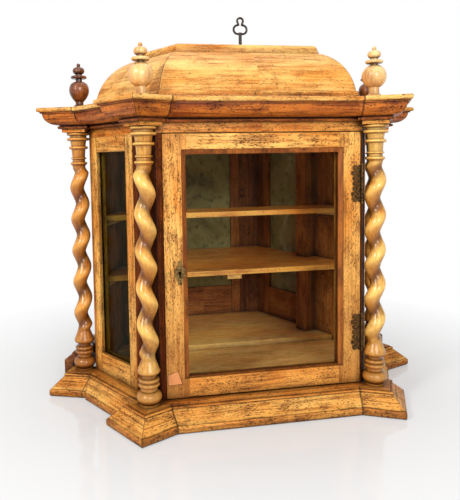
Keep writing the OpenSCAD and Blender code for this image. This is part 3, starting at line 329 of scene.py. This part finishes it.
def wood(name, along, seed, tone, dark, light, pores=0.9, holes=0.6, streaks=0.6, rough=0.42,
         coat=0.0, gloss=0.2, dirt_and_shade=0.95, worn=0.4, relief_shading=0.0, repair=False, lines=(), low=None):
    """Old waxed wood: broad colour changes, streaks, short dark pores, worm holes, grime with painted
    shade in corners, and rubbed edges with a painted highlight.

    lines are dark level lines at the joints with painted shade in their creases, as heights and half
    widths. low darkens the foot with painted shade and grime: the heights where it is full and gone,
    and its strength. relief_shading paints shade in the hollows of turned work, a highlight on its
    crests and shade on its faces that look down.
    """
    m = Look(name)
    (u, v, w), gap = grain_frame(m, along, seed)
    z = m.dot(m.coord, 0, 0, 1)
    deep, middle = between(tone, dark, DEEP), between(tone, dark, MIDDLE)

    def stretched(by):
        return m.xyz(m.math("MULTIPLY", u, by), v, w)

    broad, cloud, fine, dash = [m.noise(stretched(n[0]), *n[1:]) for n in (BROAD, CLOUD, FINE, DASH)]
    cells = m.add("ShaderNodeTexVoronoi", {
        "Vector": stretched(HOLE_STRETCH), "Scale": HOLE_SCALE,
    }, feature="F1").outputs

    colour = m.mix(m.step(broad, *LIGHT_AREAS), linear(*tone), linear(*light))
    colour = m.mix(m.step(cloud, *DEEP_AREAS), colour, deep)
    colour = m.mix(m.step(fine, *LIGHT_STREAKS), colour, linear(*light))
    colour = m.mix(m.step(fine, *DARK_STREAKS, 0.0, streaks), colour, deep)

    pore = m.math("MULTIPLY", m.step(dash, *PORES, 0.0, pores), m.step(cloud, *PORE_CROWDS))
    colour = m.mix(pore, colour, scaled(dark, PORE_DARK))
    drawn = m.add("ShaderNodeSeparateColor", {0: cells["Color"]}).outputs[0]
    drawn = m.math("GREATER_THAN", drawn, 1.0 - HOLE_SHARE * holes)
    hole = m.math("MULTIPLY", m.step(cells["Distance"], *HOLES), drawn)
    colour = m.mix(m.math("MULTIPLY", hole, HOLE_STRENGTH), colour, linear(*HOLE_COLOUR))

    # Rubbed edges made lighter: wear together with a painted highlight along the edges
    if worn:
        edge = m.step(m.closeness(WORN_HIGHLIT_REACH, inside=True), *WORN_HIGHLIT_EDGES)
        edge = m.math("MULTIPLY", edge, m.step(cloud, *WORN_HIGHLIT_CLOUDS, worn, worn * WORN_HIGHLIT_LEAST))
        colour = m.mix(edge, colour, scaled(light, WORN_HIGHLIT_LIGHT))
    # Painted shade in the hollows, a painted highlight on the crests and painted shade on faces that look
    # down
    if relief_shading:
        depth = m.add("ShaderNodeAttribute", attribute_name="relief_shading").outputs["Fac"]
        colour = m.mix(m.step(depth, *HOLLOW_SHADE, relief_shading, 0.0), colour, linear(*dark))
        colour = m.mix(m.step(depth, *CREST_HIGHLIGHT), colour, linear(*light))
        faces_down = m.dot(m.add("ShaderNodeNewGeometry").outputs["Normal"], 0, 0, -1)
        colour = m.mix(m.step(faces_down, *UNDERSIDE_SHADE), colour, middle)
    # Dark level lines where the mouldings meet: dark joints with painted shade in their creases
    for level, reach in lines:
        near = m.math("ABSOLUTE", m.math("SUBTRACT", z, level))
        line = m.step(near, LINE_CORE * reach, reach, LINE_STRENGTH, 0.0)
        line = m.math("MULTIPLY", line, m.step(cloud, *LINE_BREAKS))
        colour = m.mix(line, colour, scaled(dark, LINE_DARK))
    # Darker towards the foot: painted shade of the light falling off towards the floor, with grime
    if low:
        z_full, z_gone, strength = low
        ragged = m.math("MULTIPLY", m.math("SUBTRACT", cloud, 0.5), LOW_RAGGED)
        rise = m.math("ADD", z, ragged)
        colour = m.mix(m.step(rise, z_full, z_gone, strength, 0.0), colour, middle)
    if repair:
        colour = repaired(m, colour)
    if gap is not None:
        colour = m.mix(m.step(gap, *MITRES), colour, scaled(dark, MITRE_DARK))
    # Grime and painted shade: darker where other surfaces lie near, in corners and between parts
    shade = m.step(m.closeness(DIRT_AND_SHADE_REACH), *DIRT_AND_SHADE, dirt_and_shade, 0.0)
    colour = m.mix(shade, colour, scaled(dark, DIRT_AND_SHADE_DARK))

    sheen = m.math("ADD", m.math("MULTIPLY", cloud, SHEEN_PARTS[0]), m.math("MULTIPLY", fine, SHEEN_PARTS[1]))
    sheen = m.step(sheen, *SHEEN_RANGE, rough - SHEEN_REACH[0], rough + SHEEN_REACH[1])
    sheen = m.math("ADD", sheen, m.math("MULTIPLY", pore, SHEEN_PORES))
    height = m.math("SUBTRACT", m.math("MULTIPLY", fine, FINE_HEIGHT), m.math("MULTIPLY", pore, PORE_HEIGHT))
    height = m.math("SUBTRACT", height, hole)
    height = m.math("ADD", height, m.math("MULTIPLY", broad, BROAD_HEIGHT))
    m.put(Base_Color=colour, Roughness=sheen, Specular_IOR_Level=gloss, Coat_Weight=coat,
          Coat_Roughness=COAT_ROUGH, Normal=m.bump(height, *WOOD_BUMP))
    return m.mat


# Metal: its patina and grit noises as scale, detail and roughness, where the patina sets in, the
# grime and painted shade in its corners, and its surface
METAL_SCALE = 300.0
PATINA, GRIT = (METAL_SCALE, 4.0, 0.65), (4 * METAL_SCALE, 2.0, 0.6)
PATINA_AREAS = (0.42, 0.62)
METAL_DIRT_AND_SHADE_REACH, METAL_DIRT_AND_SHADE, METAL_DIRT_AND_SHADE_DARK = 0.004, (0.35, 0.85, 0.7, 0.0), 0.4
METALLIC, METAL_ROUGH_RANGE, METAL_ROUGH_REACH = 0.85, (0.35, 0.65), (0.08, 0.22)
GRIT_HEIGHT, METAL_BUMP = 0.3, (0.4, 0.0004)


def metal(name, bright, dark, rough=0.38):
    """Aged metal: a bright body with dull brown patina in patches, and grime with painted shade in its
    corners.
    """
    m = Look(name)
    patina, grit = m.noise(m.coord, *PATINA), m.noise(m.coord, *GRIT)
    colour = m.mix(m.step(patina, *PATINA_AREAS), linear(*bright), linear(*dark))
    # Grime and painted shade: darker where other surfaces lie near
    shade = m.step(m.closeness(METAL_DIRT_AND_SHADE_REACH), *METAL_DIRT_AND_SHADE)
    colour = m.mix(shade, colour, scaled(dark, METAL_DIRT_AND_SHADE_DARK))
    least, most = rough - METAL_ROUGH_REACH[0], rough + METAL_ROUGH_REACH[1]
    height = m.math("ADD", patina, m.math("MULTIPLY", grit, GRIT_HEIGHT))
    m.put(Base_Color=colour, Metallic=METALLIC, Normal=m.bump(height, *METAL_BUMP),
          Roughness=m.step(patina, *METAL_ROUGH_RANGE, least, most))
    return m.mat


# Drawn glass: its waves and dust, and how its reflection grows with the slant
RIPPLE, RIPPLE_BUMP = (14.0, 2.0, 0.5), (0.5, 0.001)
DUST, DUST_RANGE = (7.0, 3.0, 0.6), (0.45, 0.8, 0.0, 0.015)
GLASS_ROUGH, GLASS_SPECULAR = 0.04, 0.9
SLANT_BLEND, SLANT_RANGE = 0.25, (0.0, 0.6)


def glass(name, tint, body, least, slanted):
    """Old drawn glass: clear with a tint, a soft wave in its face and a reflection that grows at a slant."""
    m = Look(name)
    wave = m.bump(m.noise(m.coord, *RIPPLE), *RIPPLE_BUMP)
    m.put(Base_Color=linear(*body), Roughness=GLASS_ROUGH, Specular_IOR_Level=GLASS_SPECULAR, Normal=wave)
    clear = m.add("ShaderNodeBsdfTransparent", {"Color": linear(*tint)})
    slant = m.add("ShaderNodeLayerWeight", {"Blend": SLANT_BLEND, "Normal": wave}).outputs["Fresnel"]
    amount = m.step(slant, *SLANT_RANGE, least, least + slanted)
    dust = m.step(m.noise(m.coord, *DUST), *DUST_RANGE)
    amount = m.add("ShaderNodeMath", {0: amount, 1: dust}, operation="ADD", use_clamp=True).outputs[0]
    mixed = m.add("ShaderNodeMixShader", {0: amount, 1: clear.outputs[0], 2: m.bsdf.outputs[0]})
    m.link(mixed.outputs[0], m.out.inputs["Surface"])
    return m.mat


# Foxed glass: its film's noises, colours and their ranges, and how much more of it the thick parts have
FILM, SPOTS = (9.0, 4.0, 0.6, 0.6), (60.0, 3.0, 0.65)
# The film's colours are made paler as painted light, and its palest colour paints reflections in patches
FILM_DARK, FILM_LIGHT, FILM_REFLECTION, SPOT_COLOUR = (112, 100, 52), (156, 148, 92), (186, 182, 138), (52, 34, 14)
FILM_AREAS, REFLECTION_AREAS, SPOT_AREAS = (0.34, 0.52), (0.56, 0.68), (0.54, 0.72, 0.0, 0.65)
FILM_ROUGH, FILM_SPECULAR, FILM_TINT = 0.4, 0.15, (206, 208, 184)
COVER_RANGE, COVER_MORE = (0.3, 0.7), 0.12


def foxed_glass(name, seed, cover):
    """Glass with a mottled old film on it, olive to brown and painted paler as light, with pale patches that
    paint reflections; it lets a little light through.
    """
    m = Look(name)
    place = m.add("ShaderNodeVectorMath", {0: m.coord, 1: (seed, seed, 0.0)}, operation="ADD").outputs[0]
    film = m.noise(place, *FILM)
    colour = m.mix(m.step(film, *FILM_AREAS), linear(*FILM_DARK), linear(*FILM_LIGHT))
    colour = m.mix(m.step(film, *REFLECTION_AREAS), colour, linear(*FILM_REFLECTION))
    colour = m.mix(m.step(m.noise(place, *SPOTS), *SPOT_AREAS), colour, linear(*SPOT_COLOUR))
    m.put(Base_Color=colour, Roughness=FILM_ROUGH, Specular_IOR_Level=FILM_SPECULAR)
    clear = m.add("ShaderNodeBsdfTransparent", {"Color": linear(*FILM_TINT)})
    amount = m.step(film, *COVER_RANGE, cover, min(1.0, cover + COVER_MORE))
    mixed = m.add("ShaderNodeMixShader", {0: amount, 1: clear.outputs[0], 2: m.bsdf.outputs[0]})
    m.link(mixed.outputs[0], m.out.inputs["Surface"])
    return m.mat


# Wood palettes, as 0 to 255 values
HONEY = dict(tone=(198, 112, 34), dark=(70, 26, 5), light=(238, 164, 74))
GOLD = dict(tone=(222, 138, 48), dark=(80, 32, 6), light=(252, 190, 98))
PALE = dict(tone=(228, 148, 58), dark=(116, 54, 14), light=(252, 198, 112))
BROWN = dict(tone=(112, 60, 26), dark=(52, 24, 8), light=(152, 90, 42))
# SHADE is a near black brown that paints the front columns' shadow on the front posts
SHADE = dict(tone=(84, 32, 4), dark=(30, 9, 1), light=(122, 56, 10))
FRIEZE = dict(tone=(218, 120, 30), dark=(82, 30, 4), light=(246, 166, 72))
BEAD = dict(tone=(126, 62, 16), dark=(44, 16, 3), light=(172, 98, 34))
INSIDE = dict(tone=(150, 84, 34), dark=(72, 34, 10), light=(186, 116, 54))
RED = dict(tone=(158, 72, 18), dark=(62, 20, 4), light=(210, 118, 40))
# SHELF and INNER are paler than the wood's own tone: painted light for the closed inside of the case
SHELF = dict(tone=(250, 156, 58), dark=(166, 78, 24), light=(255, 186, 88))
INNER = dict(tone=(252, 190, 104), dark=(188, 112, 48), light=(255, 216, 136))
BALL = dict(tone=(236, 172, 96), dark=(140, 76, 28), light=(252, 214, 146))
WALNUT = dict(tone=(90, 44, 18), dark=(34, 12, 4), light=(150, 84, 38))
FRONT_TURNED = dict(tone=(222, 140, 42), dark=(84, 34, 5), light=(255, 204, 108))
SIDE_TURNED = dict(tone=(194, 110, 30), dark=(60, 22, 4), light=(242, 172, 80))

# Window frames: the wall's direction, the lines between rails and stiles along it, and their heights
SIDE_FRAME = (math.radians(62), (0.1665, 0.2625), 0.075, 0.447)
REAR_FRAME = (math.radians(112), (0.2374, 0.3404), 0.118, 0.447)
BACK_FRAME = (0.0, (-0.0707, 0.0707), 0.118, 0.447)

# Each wooden node: its grain, seed and palette, and what differs from the usual wood. The grain runs
# along z, along the walls of the base or roof, round a window frame, or at an angle from x in degrees.
WOODS = {
    "base_slab": ("walls", 1.1, HONEY, dict(worn=0.6, lines=[(0.0140, 0.0016)])),
    "base_slope": ("walls", 2.3, GOLD, dict(streaks=0.7, lines=[(0.0140, 0.0018), (0.0334, 0.0014)])),
    "base_plinth": ("walls", 3.9, HONEY, dict(lines=[(0.0334, 0.0010), (0.0368, 0.0009)])),
    "rear_base_left": (68, 4.1, BROWN, dict(holes=0.3)),
    "rear_base_back": (0, 4.7, BROWN, dict(holes=0.3)),
    "rear_base_right": (112, 5.3, BROWN, dict(holes=0.3)),
    "floor_board": (0, 6.1, INNER, dict(pores=0.35, holes=0.25, rough=0.36)),
    "raised_floor": (0, 6.8, INNER, dict(pores=0.35, holes=0.3, rough=0.36)),
    # The front posts take the SHADE palette: painted shadow of the front columns
    "post_front_left": ("z", 7.2, SHADE, dict(gloss=0.05)),
    "post_front_right": ("z", 8.4, SHADE, dict(gloss=0.05)),
    "post_side_left": ("z", 9.5, HONEY, {}),
    "post_side_right": ("z", 10.6, HONEY, {}),
    "post_rear_left": ("z", 11.7, BROWN, {}),
    "post_rear_right": ("z", 12.8, BROWN, {}),
    "side_frame_left": (SIDE_FRAME, 13.2, GOLD, {}),
    "side_frame_right": (SIDE_FRAME, 14.9, GOLD, {}),
    "rear_board_left": ("z", 15.1, INSIDE, {}),
    "rear_board_right": ("z", 16.3, INSIDE, {}),
    "rear_frame_left": (REAR_FRAME, 17.4, INSIDE, {}),
    "rear_frame_right": (REAR_FRAME, 18.5, INSIDE, {}),
    "back_frame": (BACK_FRAME, 19.6, INSIDE, {}),
    "inner_post_left": ("z", 20.7, INSIDE, {}),
    "inner_post_right": ("z", 21.8, INSIDE, {}),
    "shelf_middle": (0, 22.9, SHELF, dict(pores=0.4, rough=0.3, coat=0.2)),
    "shelf_upper": (0, 23.3, SHELF, dict(pores=0.4, rough=0.3, coat=0.2)),
    "shelf_batten": (90, 24.1, INNER, dict(pores=0.3, holes=0.1)),
    "shelf_cleats": (90, 25.2, INNER, dict(pores=0.3, holes=0.1)),
    "frieze": ("walls", 26.3, FRIEZE, {}),
    "ceiling_board": (0, 27.4, INNER, {}),
    "cornice_moulding": ("walls", 28.5, RED, dict(
        streaks=0.7, rough=0.38, lines=[(0.4895, 0.0045), (0.5200, 0.0050)])),
    "cornice_board": ("walls", 29.6, PALE, dict(dirt_and_shade=0.7, worn=0.7)),
    "roof_frame": ("roof", 30.7, GOLD, {}),
    "dome_panels": ("roof", 31.8, PALE, dict(pores=0.5, holes=0.35)),
    "top_board": (0, 32.9, PALE, dict(pores=0.5, holes=0.4, worn=0.6)),
    "finials": ("z", 33.1, BALL, dict(pores=0.15, holes=0.15, streaks=0.15, rough=0.28, coat=0.4)),
    "finial_dark": ("z", 34.2, WALNUT, dict(pores=0.4, holes=0.2, rough=0.26, coat=0.5)),
    # The door stiles grow darker towards the foot, with painted shade and grime
    "door_stile_left": ("z", 35.3, GOLD, dict(low=(0.05, 0.30, 0.75), repair=True)),
    "door_stile_right": ("z", 36.4, GOLD, dict(low=(0.05, 0.40, 0.6))),
    "door_rail_top": (0, 37.5, GOLD, {}),
    "door_rail_bottom": (0, 38.6, HONEY, {}),
    "door_bead": ("z", 39.7, BEAD, dict(pores=0.3)),
}
looks = {
    "hinges_fixed": metal("hinges_fixed_brass", (104, 74, 36), (40, 26, 12)),
    "hinges_door": metal("hinges_door_brass", (98, 68, 32), (36, 24, 12)),
    "hinge_pins": metal("hinge_pins_brass", (140, 108, 58), (60, 42, 22)),
    "escutcheon": metal("escutcheon_brass", (134, 104, 56), (62, 46, 26)),
    "lock_keep": metal("lock_keep_brass", (140, 108, 58), (60, 42, 22)),
    "lock_case": metal("lock_case_iron", (74, 66, 60), (40, 30, 24), rough=0.5),
    "lock_bolt": metal("lock_bolt_iron", (110, 104, 98), (60, 50, 42), rough=0.4),
    "key": metal("key_iron", (66, 60, 56), (36, 26, 20), rough=0.4),
    "door_pane": glass("clear_glass", (254, 255, 253), (20, 28, 24), least=0.005, slanted=0.25),
    "rear_pane_left": foxed_glass("rear_left_glass", seed=0.4, cover=0.84),
    "rear_pane_right": foxed_glass("rear_right_glass", seed=1.9, cover=0.84),
    "back_pane": foxed_glass("back_glass", seed=3.3, cover=0.88),
}
side_glass = glass("side_glass", (222, 228, 206), (14, 16, 10), least=0.03, slanted=0.12)
looks["side_pane_left"] = side_glass
looks["side_pane_right"] = side_glass
for name, (along, seed, palette, own) in WOODS.items():
    looks[name] = wood(name + "_wood", along, seed, **palette, **own)

# Columns: one smooth skin each, from the turned foot through the thrown strand to the capital. The
# strand's radius grows from SLIM to STRAND as it is thrown off the axis over RUN_OUT at each end, and a
# shallow groove follows its inner side. Heights count from the column's foot at COLUMN_Z.
COLUMN_Z, COLUMN_H = 0.039, 0.445
SHAFT_Z, SHAFT_TOP = 0.074, 0.383
THROW, STRAND, SLIM, PITCH, RUN_OUT = 0.0042, 0.0133, 0.0116, 0.059, 0.013
GROOVE, GROOVE_WIDE = 0.0010, math.radians(38)
AROUND, SHAFT_RINGS = 48, 230
LEAST_R = 1e-5
SHARP = math.radians(42)

# How far from the axis the painted shade of the hollows ends and the painted highlight of the
# crests begins, on the strand and on the turned ends
STRAND_SHADING, TURNED_SHADING = (0.0080, 0.0095), (0.0060, 0.0145)
# The columns' wood paints shade in the hollows and on faces that look down, a highlight on the crests, and a
# darker foot with painted shade and grime
COLUMN_LOOK = dict(
    pores=0.3, holes=0.2, streaks=0.3, rough=0.26, coat=0.4, gloss=0.15, dirt_and_shade=0.75, worn=0.0,
    relief_shading=0.85, low=(0.085, 0.125, 0.7),
)
COLUMN_SEED, COLUMN_SEED_STEP = 40, 7


def arc(r, z, h, start, end, count):
    """Points (radius, height) on a round of radius h about (r, z), by degrees from outward."""
    out = []
    for i in range(count + 1):
        t = math.radians(start + (end - start) * i / count)
        out.append((r + h * math.cos(t), z + h * math.sin(t)))
    return out


def bead(r, z0, z1, count=8):
    """A full round bead of outer radius r between two heights."""
    h = (z1 - z0) / 2
    return arc(r - h, z0 + h, h, -84, 84, count)


def column_profile():
    """The turned foot and the capital, as radii and heights from the column's foot."""
    foot = [(0.0, 0.0), (0.016, 0.0), (0.016, 0.0030)]
    foot += bead(0.0205, 0.003, 0.024, 18)
    foot += [(0.0140, 0.0245), (0.0134, 0.0270), (0.0140, 0.0298)]
    foot += bead(0.0175, 0.030, 0.037)
    foot += [(0.0141, 0.0372), (0.0141, 0.0378)]
    foot += bead(0.0170, 0.038, 0.0445)
    foot += [(0.0116, 0.0448), (0.0115, 0.0496), (0.0126, 0.0500)]
    foot += arc(0.0125, 0.056, 0.006, -80, 12, 8)
    foot += [(0.0172, 0.0600), (0.0156, 0.0640), (0.0140, 0.0682), (0.0126, 0.0716), (0.0115, 0.0740)]
    t = COLUMN_H
    cap = [(0.0115, t - 0.0620), (0.0132, t - 0.0596), (0.0140, t - 0.0589)]
    cap += bead(0.0155, t - 0.0590, t - 0.0540)
    cap += [(0.0116, t - 0.0537), (0.0115, t - 0.0493)]
    cap += bead(0.0140, t - 0.0490, t - 0.0455)
    cap += [(0.0118, t - 0.0450), (0.0120, t - 0.0400), (0.0126, t - 0.0330), (0.0130, t - 0.0306)]
    cap += bead(0.0175, t - 0.0305, t - 0.0250)
    cap += [(0.0134, t - 0.0247), (0.0138, t - 0.0200), (0.0148, t - 0.0153)]
    cap += bead(0.02075, t - 0.0150, t - 0.0095)
    cap += [(0.0155, t - 0.0093), (0.0155, t - 0.0057)]
    cap += bead(0.02075, t - 0.0055, t - 0.0001)
    cap += [(0.0155, t), (0.0, t)]
    return foot, cap


def column_rings(hand, bulge_dir, bulge_z):
    """The rings from foot to top: how far each is thrown and where to, its radius and its height."""
    foot, cap = column_profile()
    turn = hand * 360 / PITCH
    ridge = bulge_dir + turn * (bulge_z - COLUMN_Z - SHAFT_Z)
    length = SHAFT_TOP - SHAFT_Z
    rings = [(0.0, 0.0, r, z) for r, z in foot]
    for i in range(1, SHAFT_RINGS):
        z = length * i / SHAFT_RINGS
        share = max(0.0, min(1.0, z / RUN_OUT, (length - z) / RUN_OUT))
        share = (1 - math.cos(math.pi * share)) / 2
        a = math.radians(ridge - turn * z)
        rings.append((THROW * share, a, SLIM + (STRAND - SLIM) * share, SHAFT_Z + z))
    return rings + [(0.0, 0.0, r, z) for r, z in cap]


def column(name, hand, bulge_dir, bulge_z, palette):
    """One column: the twist's hand, and the direction and height of one of its bulges in the photo."""
    cx, cy = COLUMNS[name]
    rings = column_rings(hand, bulge_dir, bulge_z)
    verts, faces, relief_shading = [], [], []
    for throw, a, r, z in rings:
        hollow, rise = STRAND_SHADING if SHAFT_Z < z < SHAFT_TOP else TURNED_SHADING
        for j in range(AROUND):
            t = 2 * math.pi * j / AROUND
            away = abs((t - a) % (2 * math.pi) - math.pi)
            groove = GROOVE * throw / THROW * math.exp(-((away / GROOVE_WIDE) ** 2))
            r_here = max(r - groove, LEAST_R)
            x = throw * math.cos(a) + r_here * math.cos(t)
            y = throw * math.sin(a) + r_here * math.sin(t)
            verts.append((cx + x, cy + y, COLUMN_Z + z))
            # How far out the point lies, from the hollows to the crests, for the painted shade and highlight
            relief_shading.append(min(1.0, max(0.0, (math.hypot(x, y) - hollow) / rise)))
    for i in range(len(rings) - 1):
        for j in range(AROUND):
            k = (j + 1) % AROUND
            low, high = i * AROUND, (i + 1) * AROUND
            faces.append((low + j, low + k, high + k, high + j))
    mesh = bpy.data.meshes.new(name + "_skin")
    mesh.from_pydata(verts, [], faces)
    mesh.update()
    mesh.attributes.new("relief_shading", "FLOAT", "POINT").data.foreach_set("value", relief_shading)
    mesh.shade_smooth()
    mesh.set_sharp_from_angle(angle=SHARP)
    obj = bpy.data.objects.new(name + "_skin", mesh)
    bpy.context.collection.objects.link(obj)
    seed = COLUMN_SEED + cx * COLUMN_SEED_STEP
    mesh.materials.append(wood(name + "_wood", "z", seed, **palette, **COLUMN_LOOK))
    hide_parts(name)
    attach(obj, "carcass")


column("column_front_left", 1, -7, 0.377, FRONT_TURNED)
column("column_front_right", -1, -28, 0.391, FRONT_TURNED)
column("column_side_right", 1, 0, 0.382, SIDE_TURNED)
column("column_side_left", -1, 180, 0.382, SIDE_TURNED)

# The CAD nodes: their materials, and soft edges on the plain boards. A board's faces are joined first,
# so that only its real edges are rounded.
PLAIN_BOARDS = (
    "post_", "side_frame", "rear_frame", "back_frame", "rear_board", "inner_post", "shelf_",
    "door_stile", "door_rail", "door_bead",
)
WELD_GAP = 2e-6
FLAT_ANGLE, EDGE_ANGLE = math.radians(0.5), math.radians(32)
EDGE_SOFT, BEAD_SOFT = 0.0007, 0.0004
for name, obj in nodes.items():
    if name in looks:
        obj.data.materials.clear()
        obj.data.materials.append(looks[name])
    if not name.startswith(PLAIN_BOARDS):
        continue
    weld = obj.modifiers.new("weld", "WELD")
    weld.merge_threshold = WELD_GAP
    flat = obj.modifiers.new("flat", "DECIMATE")
    flat.decimate_type = "DISSOLVE"
    flat.angle_limit = FLAT_ANGLE
    soft = obj.modifiers.new("soft", "BEVEL")
    soft.width = BEAD_SOFT if name == "door_bead" else EDGE_SOFT
    soft.segments = 2
    soft.limit_method = "ANGLE"
    soft.angle_limit = EDGE_ANGLE
    soft.use_clamp_overlap = True
    soft.harden_normals = True

# Floor: glossy paper that shows the object's shadow and reflection near it and turns plain white
# further off, by the distance from FLOOR_MIDDLE
FLOOR_SIZE, FLOOR_NEAR, FLOOR_FAR, FLOOR_PLAIN_NEAR = 6.0, 0.34, 0.78, 0.32
FLOOR_MIDDLE = (0.0, 0.22, 0.0)
FLOOR_COLOUR, FLOOR_ROUGH, FLOOR_SPECULAR = (0.86, 0.86, 0.86, 1), 0.09, 0.8
WHITE = (1, 1, 1, 1)

floor_mesh = bpy.data.meshes.new("floor")
floor_mesh.from_pydata(
    [(-FLOOR_SIZE, -FLOOR_SIZE, 0), (FLOOR_SIZE, -FLOOR_SIZE, 0),
     (FLOOR_SIZE, 1.5 * FLOOR_SIZE, 0), (-FLOOR_SIZE, 1.5 * FLOOR_SIZE, 0)],
    [], [(0, 1, 2, 3)],
)
floor = bpy.data.objects.new("floor", floor_mesh)
bpy.context.collection.objects.link(floor)
paper = Look("floor_paper")
paper.put(Base_Color=FLOOR_COLOUR, Roughness=FLOOR_ROUGH, Specular_IOR_Level=FLOOR_SPECULAR)
glow = paper.add("ShaderNodeEmission", {"Color": WHITE, "Strength": 1.0})
away = paper.add("ShaderNodeVectorMath", {0: paper.coord, 1: FLOOR_MIDDLE}, operation="DISTANCE")
plain = paper.step(away.outputs["Value"], FLOOR_NEAR, FLOOR_FAR, FLOOR_PLAIN_NEAR, 1.0)
plain = paper.math("MULTIPLY", paper.plain_rays(), plain)
both = paper.add("ShaderNodeMixShader", {0: plain, 1: paper.bsdf.outputs[0], 2: glow.outputs[0]})
paper.link(both.outputs[0], paper.out.inputs["Surface"])
floor_mesh.materials.append(paper.mat)

# World: plain white where it is seen, and a weak fill light on the object
WORLD_FILL = 0.18
world = bpy.data.worlds.new("studio")
bpy.context.scene.world = world
world.use_nodes = True
world.node_tree.nodes.clear()
sky = Nodes(world.node_tree)
fill = sky.add("ShaderNodeBackground", {"Color": WHITE, "Strength": WORLD_FILL})
white = sky.add("ShaderNodeBackground", {"Color": WHITE, "Strength": 1.0})
sky_mix = sky.add("ShaderNodeMixShader", {0: sky.plain_rays(), 1: fill.outputs[0], 2: white.outputs[0]})
sky.add("ShaderNodeOutputWorld", {"Surface": sky_mix.outputs[0]})


def lamp(name, at, to, size, power):
    """A soft rectangular lamp, placed at one point and turned to another."""
    data = bpy.data.lights.new(name, "AREA")
    data.shape = "RECTANGLE"
    data.size, data.size_y = size
    data.energy = power
    obj = bpy.data.objects.new(name, data)
    bpy.context.collection.objects.link(obj)
    obj.location = at
    obj.rotation_euler = (Vector(to) - Vector(at)).to_track_quat("-Z", "Y").to_euler()


lamp("key", (-2.0, -1.4, 1.6), (0, 0.1, 0.3), (0.5, 0.5), 42)
lamp("front", (0.1, -2.5, 1.15), (0, 0.1, 0.25), (1.1, 0.8), 42)
lamp("top", (0.1, 0.3, 2.2), (0, 0.2, 0.3), (1.4, 1.4), 16)

# Camera, fitted to the photo: the image's size, the focal length and the centre of view in pixels, and
# the camera's place and angles
IMAGE_W, IMAGE_H, SENSOR = 460, 500, 36.0
FOCAL, CENTRE_X, CENTRE_Y = 585.801, 184.814, 202.958
YAW, PITCH_DOWN, ROLL = 0.182365, 0.0727773, -0.018342
EYE = Vector((-0.300528, -0.922171, 0.429697))
cam_data = bpy.data.cameras.new("camera")
camera = bpy.data.objects.new("camera", cam_data)
bpy.context.collection.objects.link(camera)
bpy.context.scene.camera = camera
look = Vector((
    math.sin(YAW) * math.cos(PITCH_DOWN), math.cos(YAW) * math.cos(PITCH_DOWN), -math.sin(PITCH_DOWN),
))
level = Vector((math.cos(YAW), -math.sin(YAW), 0))
above = level.cross(look)
right = math.cos(ROLL) * level + math.sin(ROLL) * above
up = math.cos(ROLL) * above - math.sin(ROLL) * level
camera.matrix_world = Matrix((
    (right.x, up.x, -look.x, EYE.x),
    (right.y, up.y, -look.y, EYE.y),
    (right.z, up.z, -look.z, EYE.z),
    (0, 0, 0, 1),
))
cam_data.sensor_fit = "HORIZONTAL"
cam_data.sensor_width = SENSOR
cam_data.lens = FOCAL / IMAGE_W * SENSOR
cam_data.shift_x = (IMAGE_W / 2 - CENTRE_X) / IMAGE_W
cam_data.shift_y = (CENTRE_Y - IMAGE_H / 2) / IMAGE_W
cam_data.clip_start = 0.02
bpy.context.scene.view_settings.view_transform = "Standard"
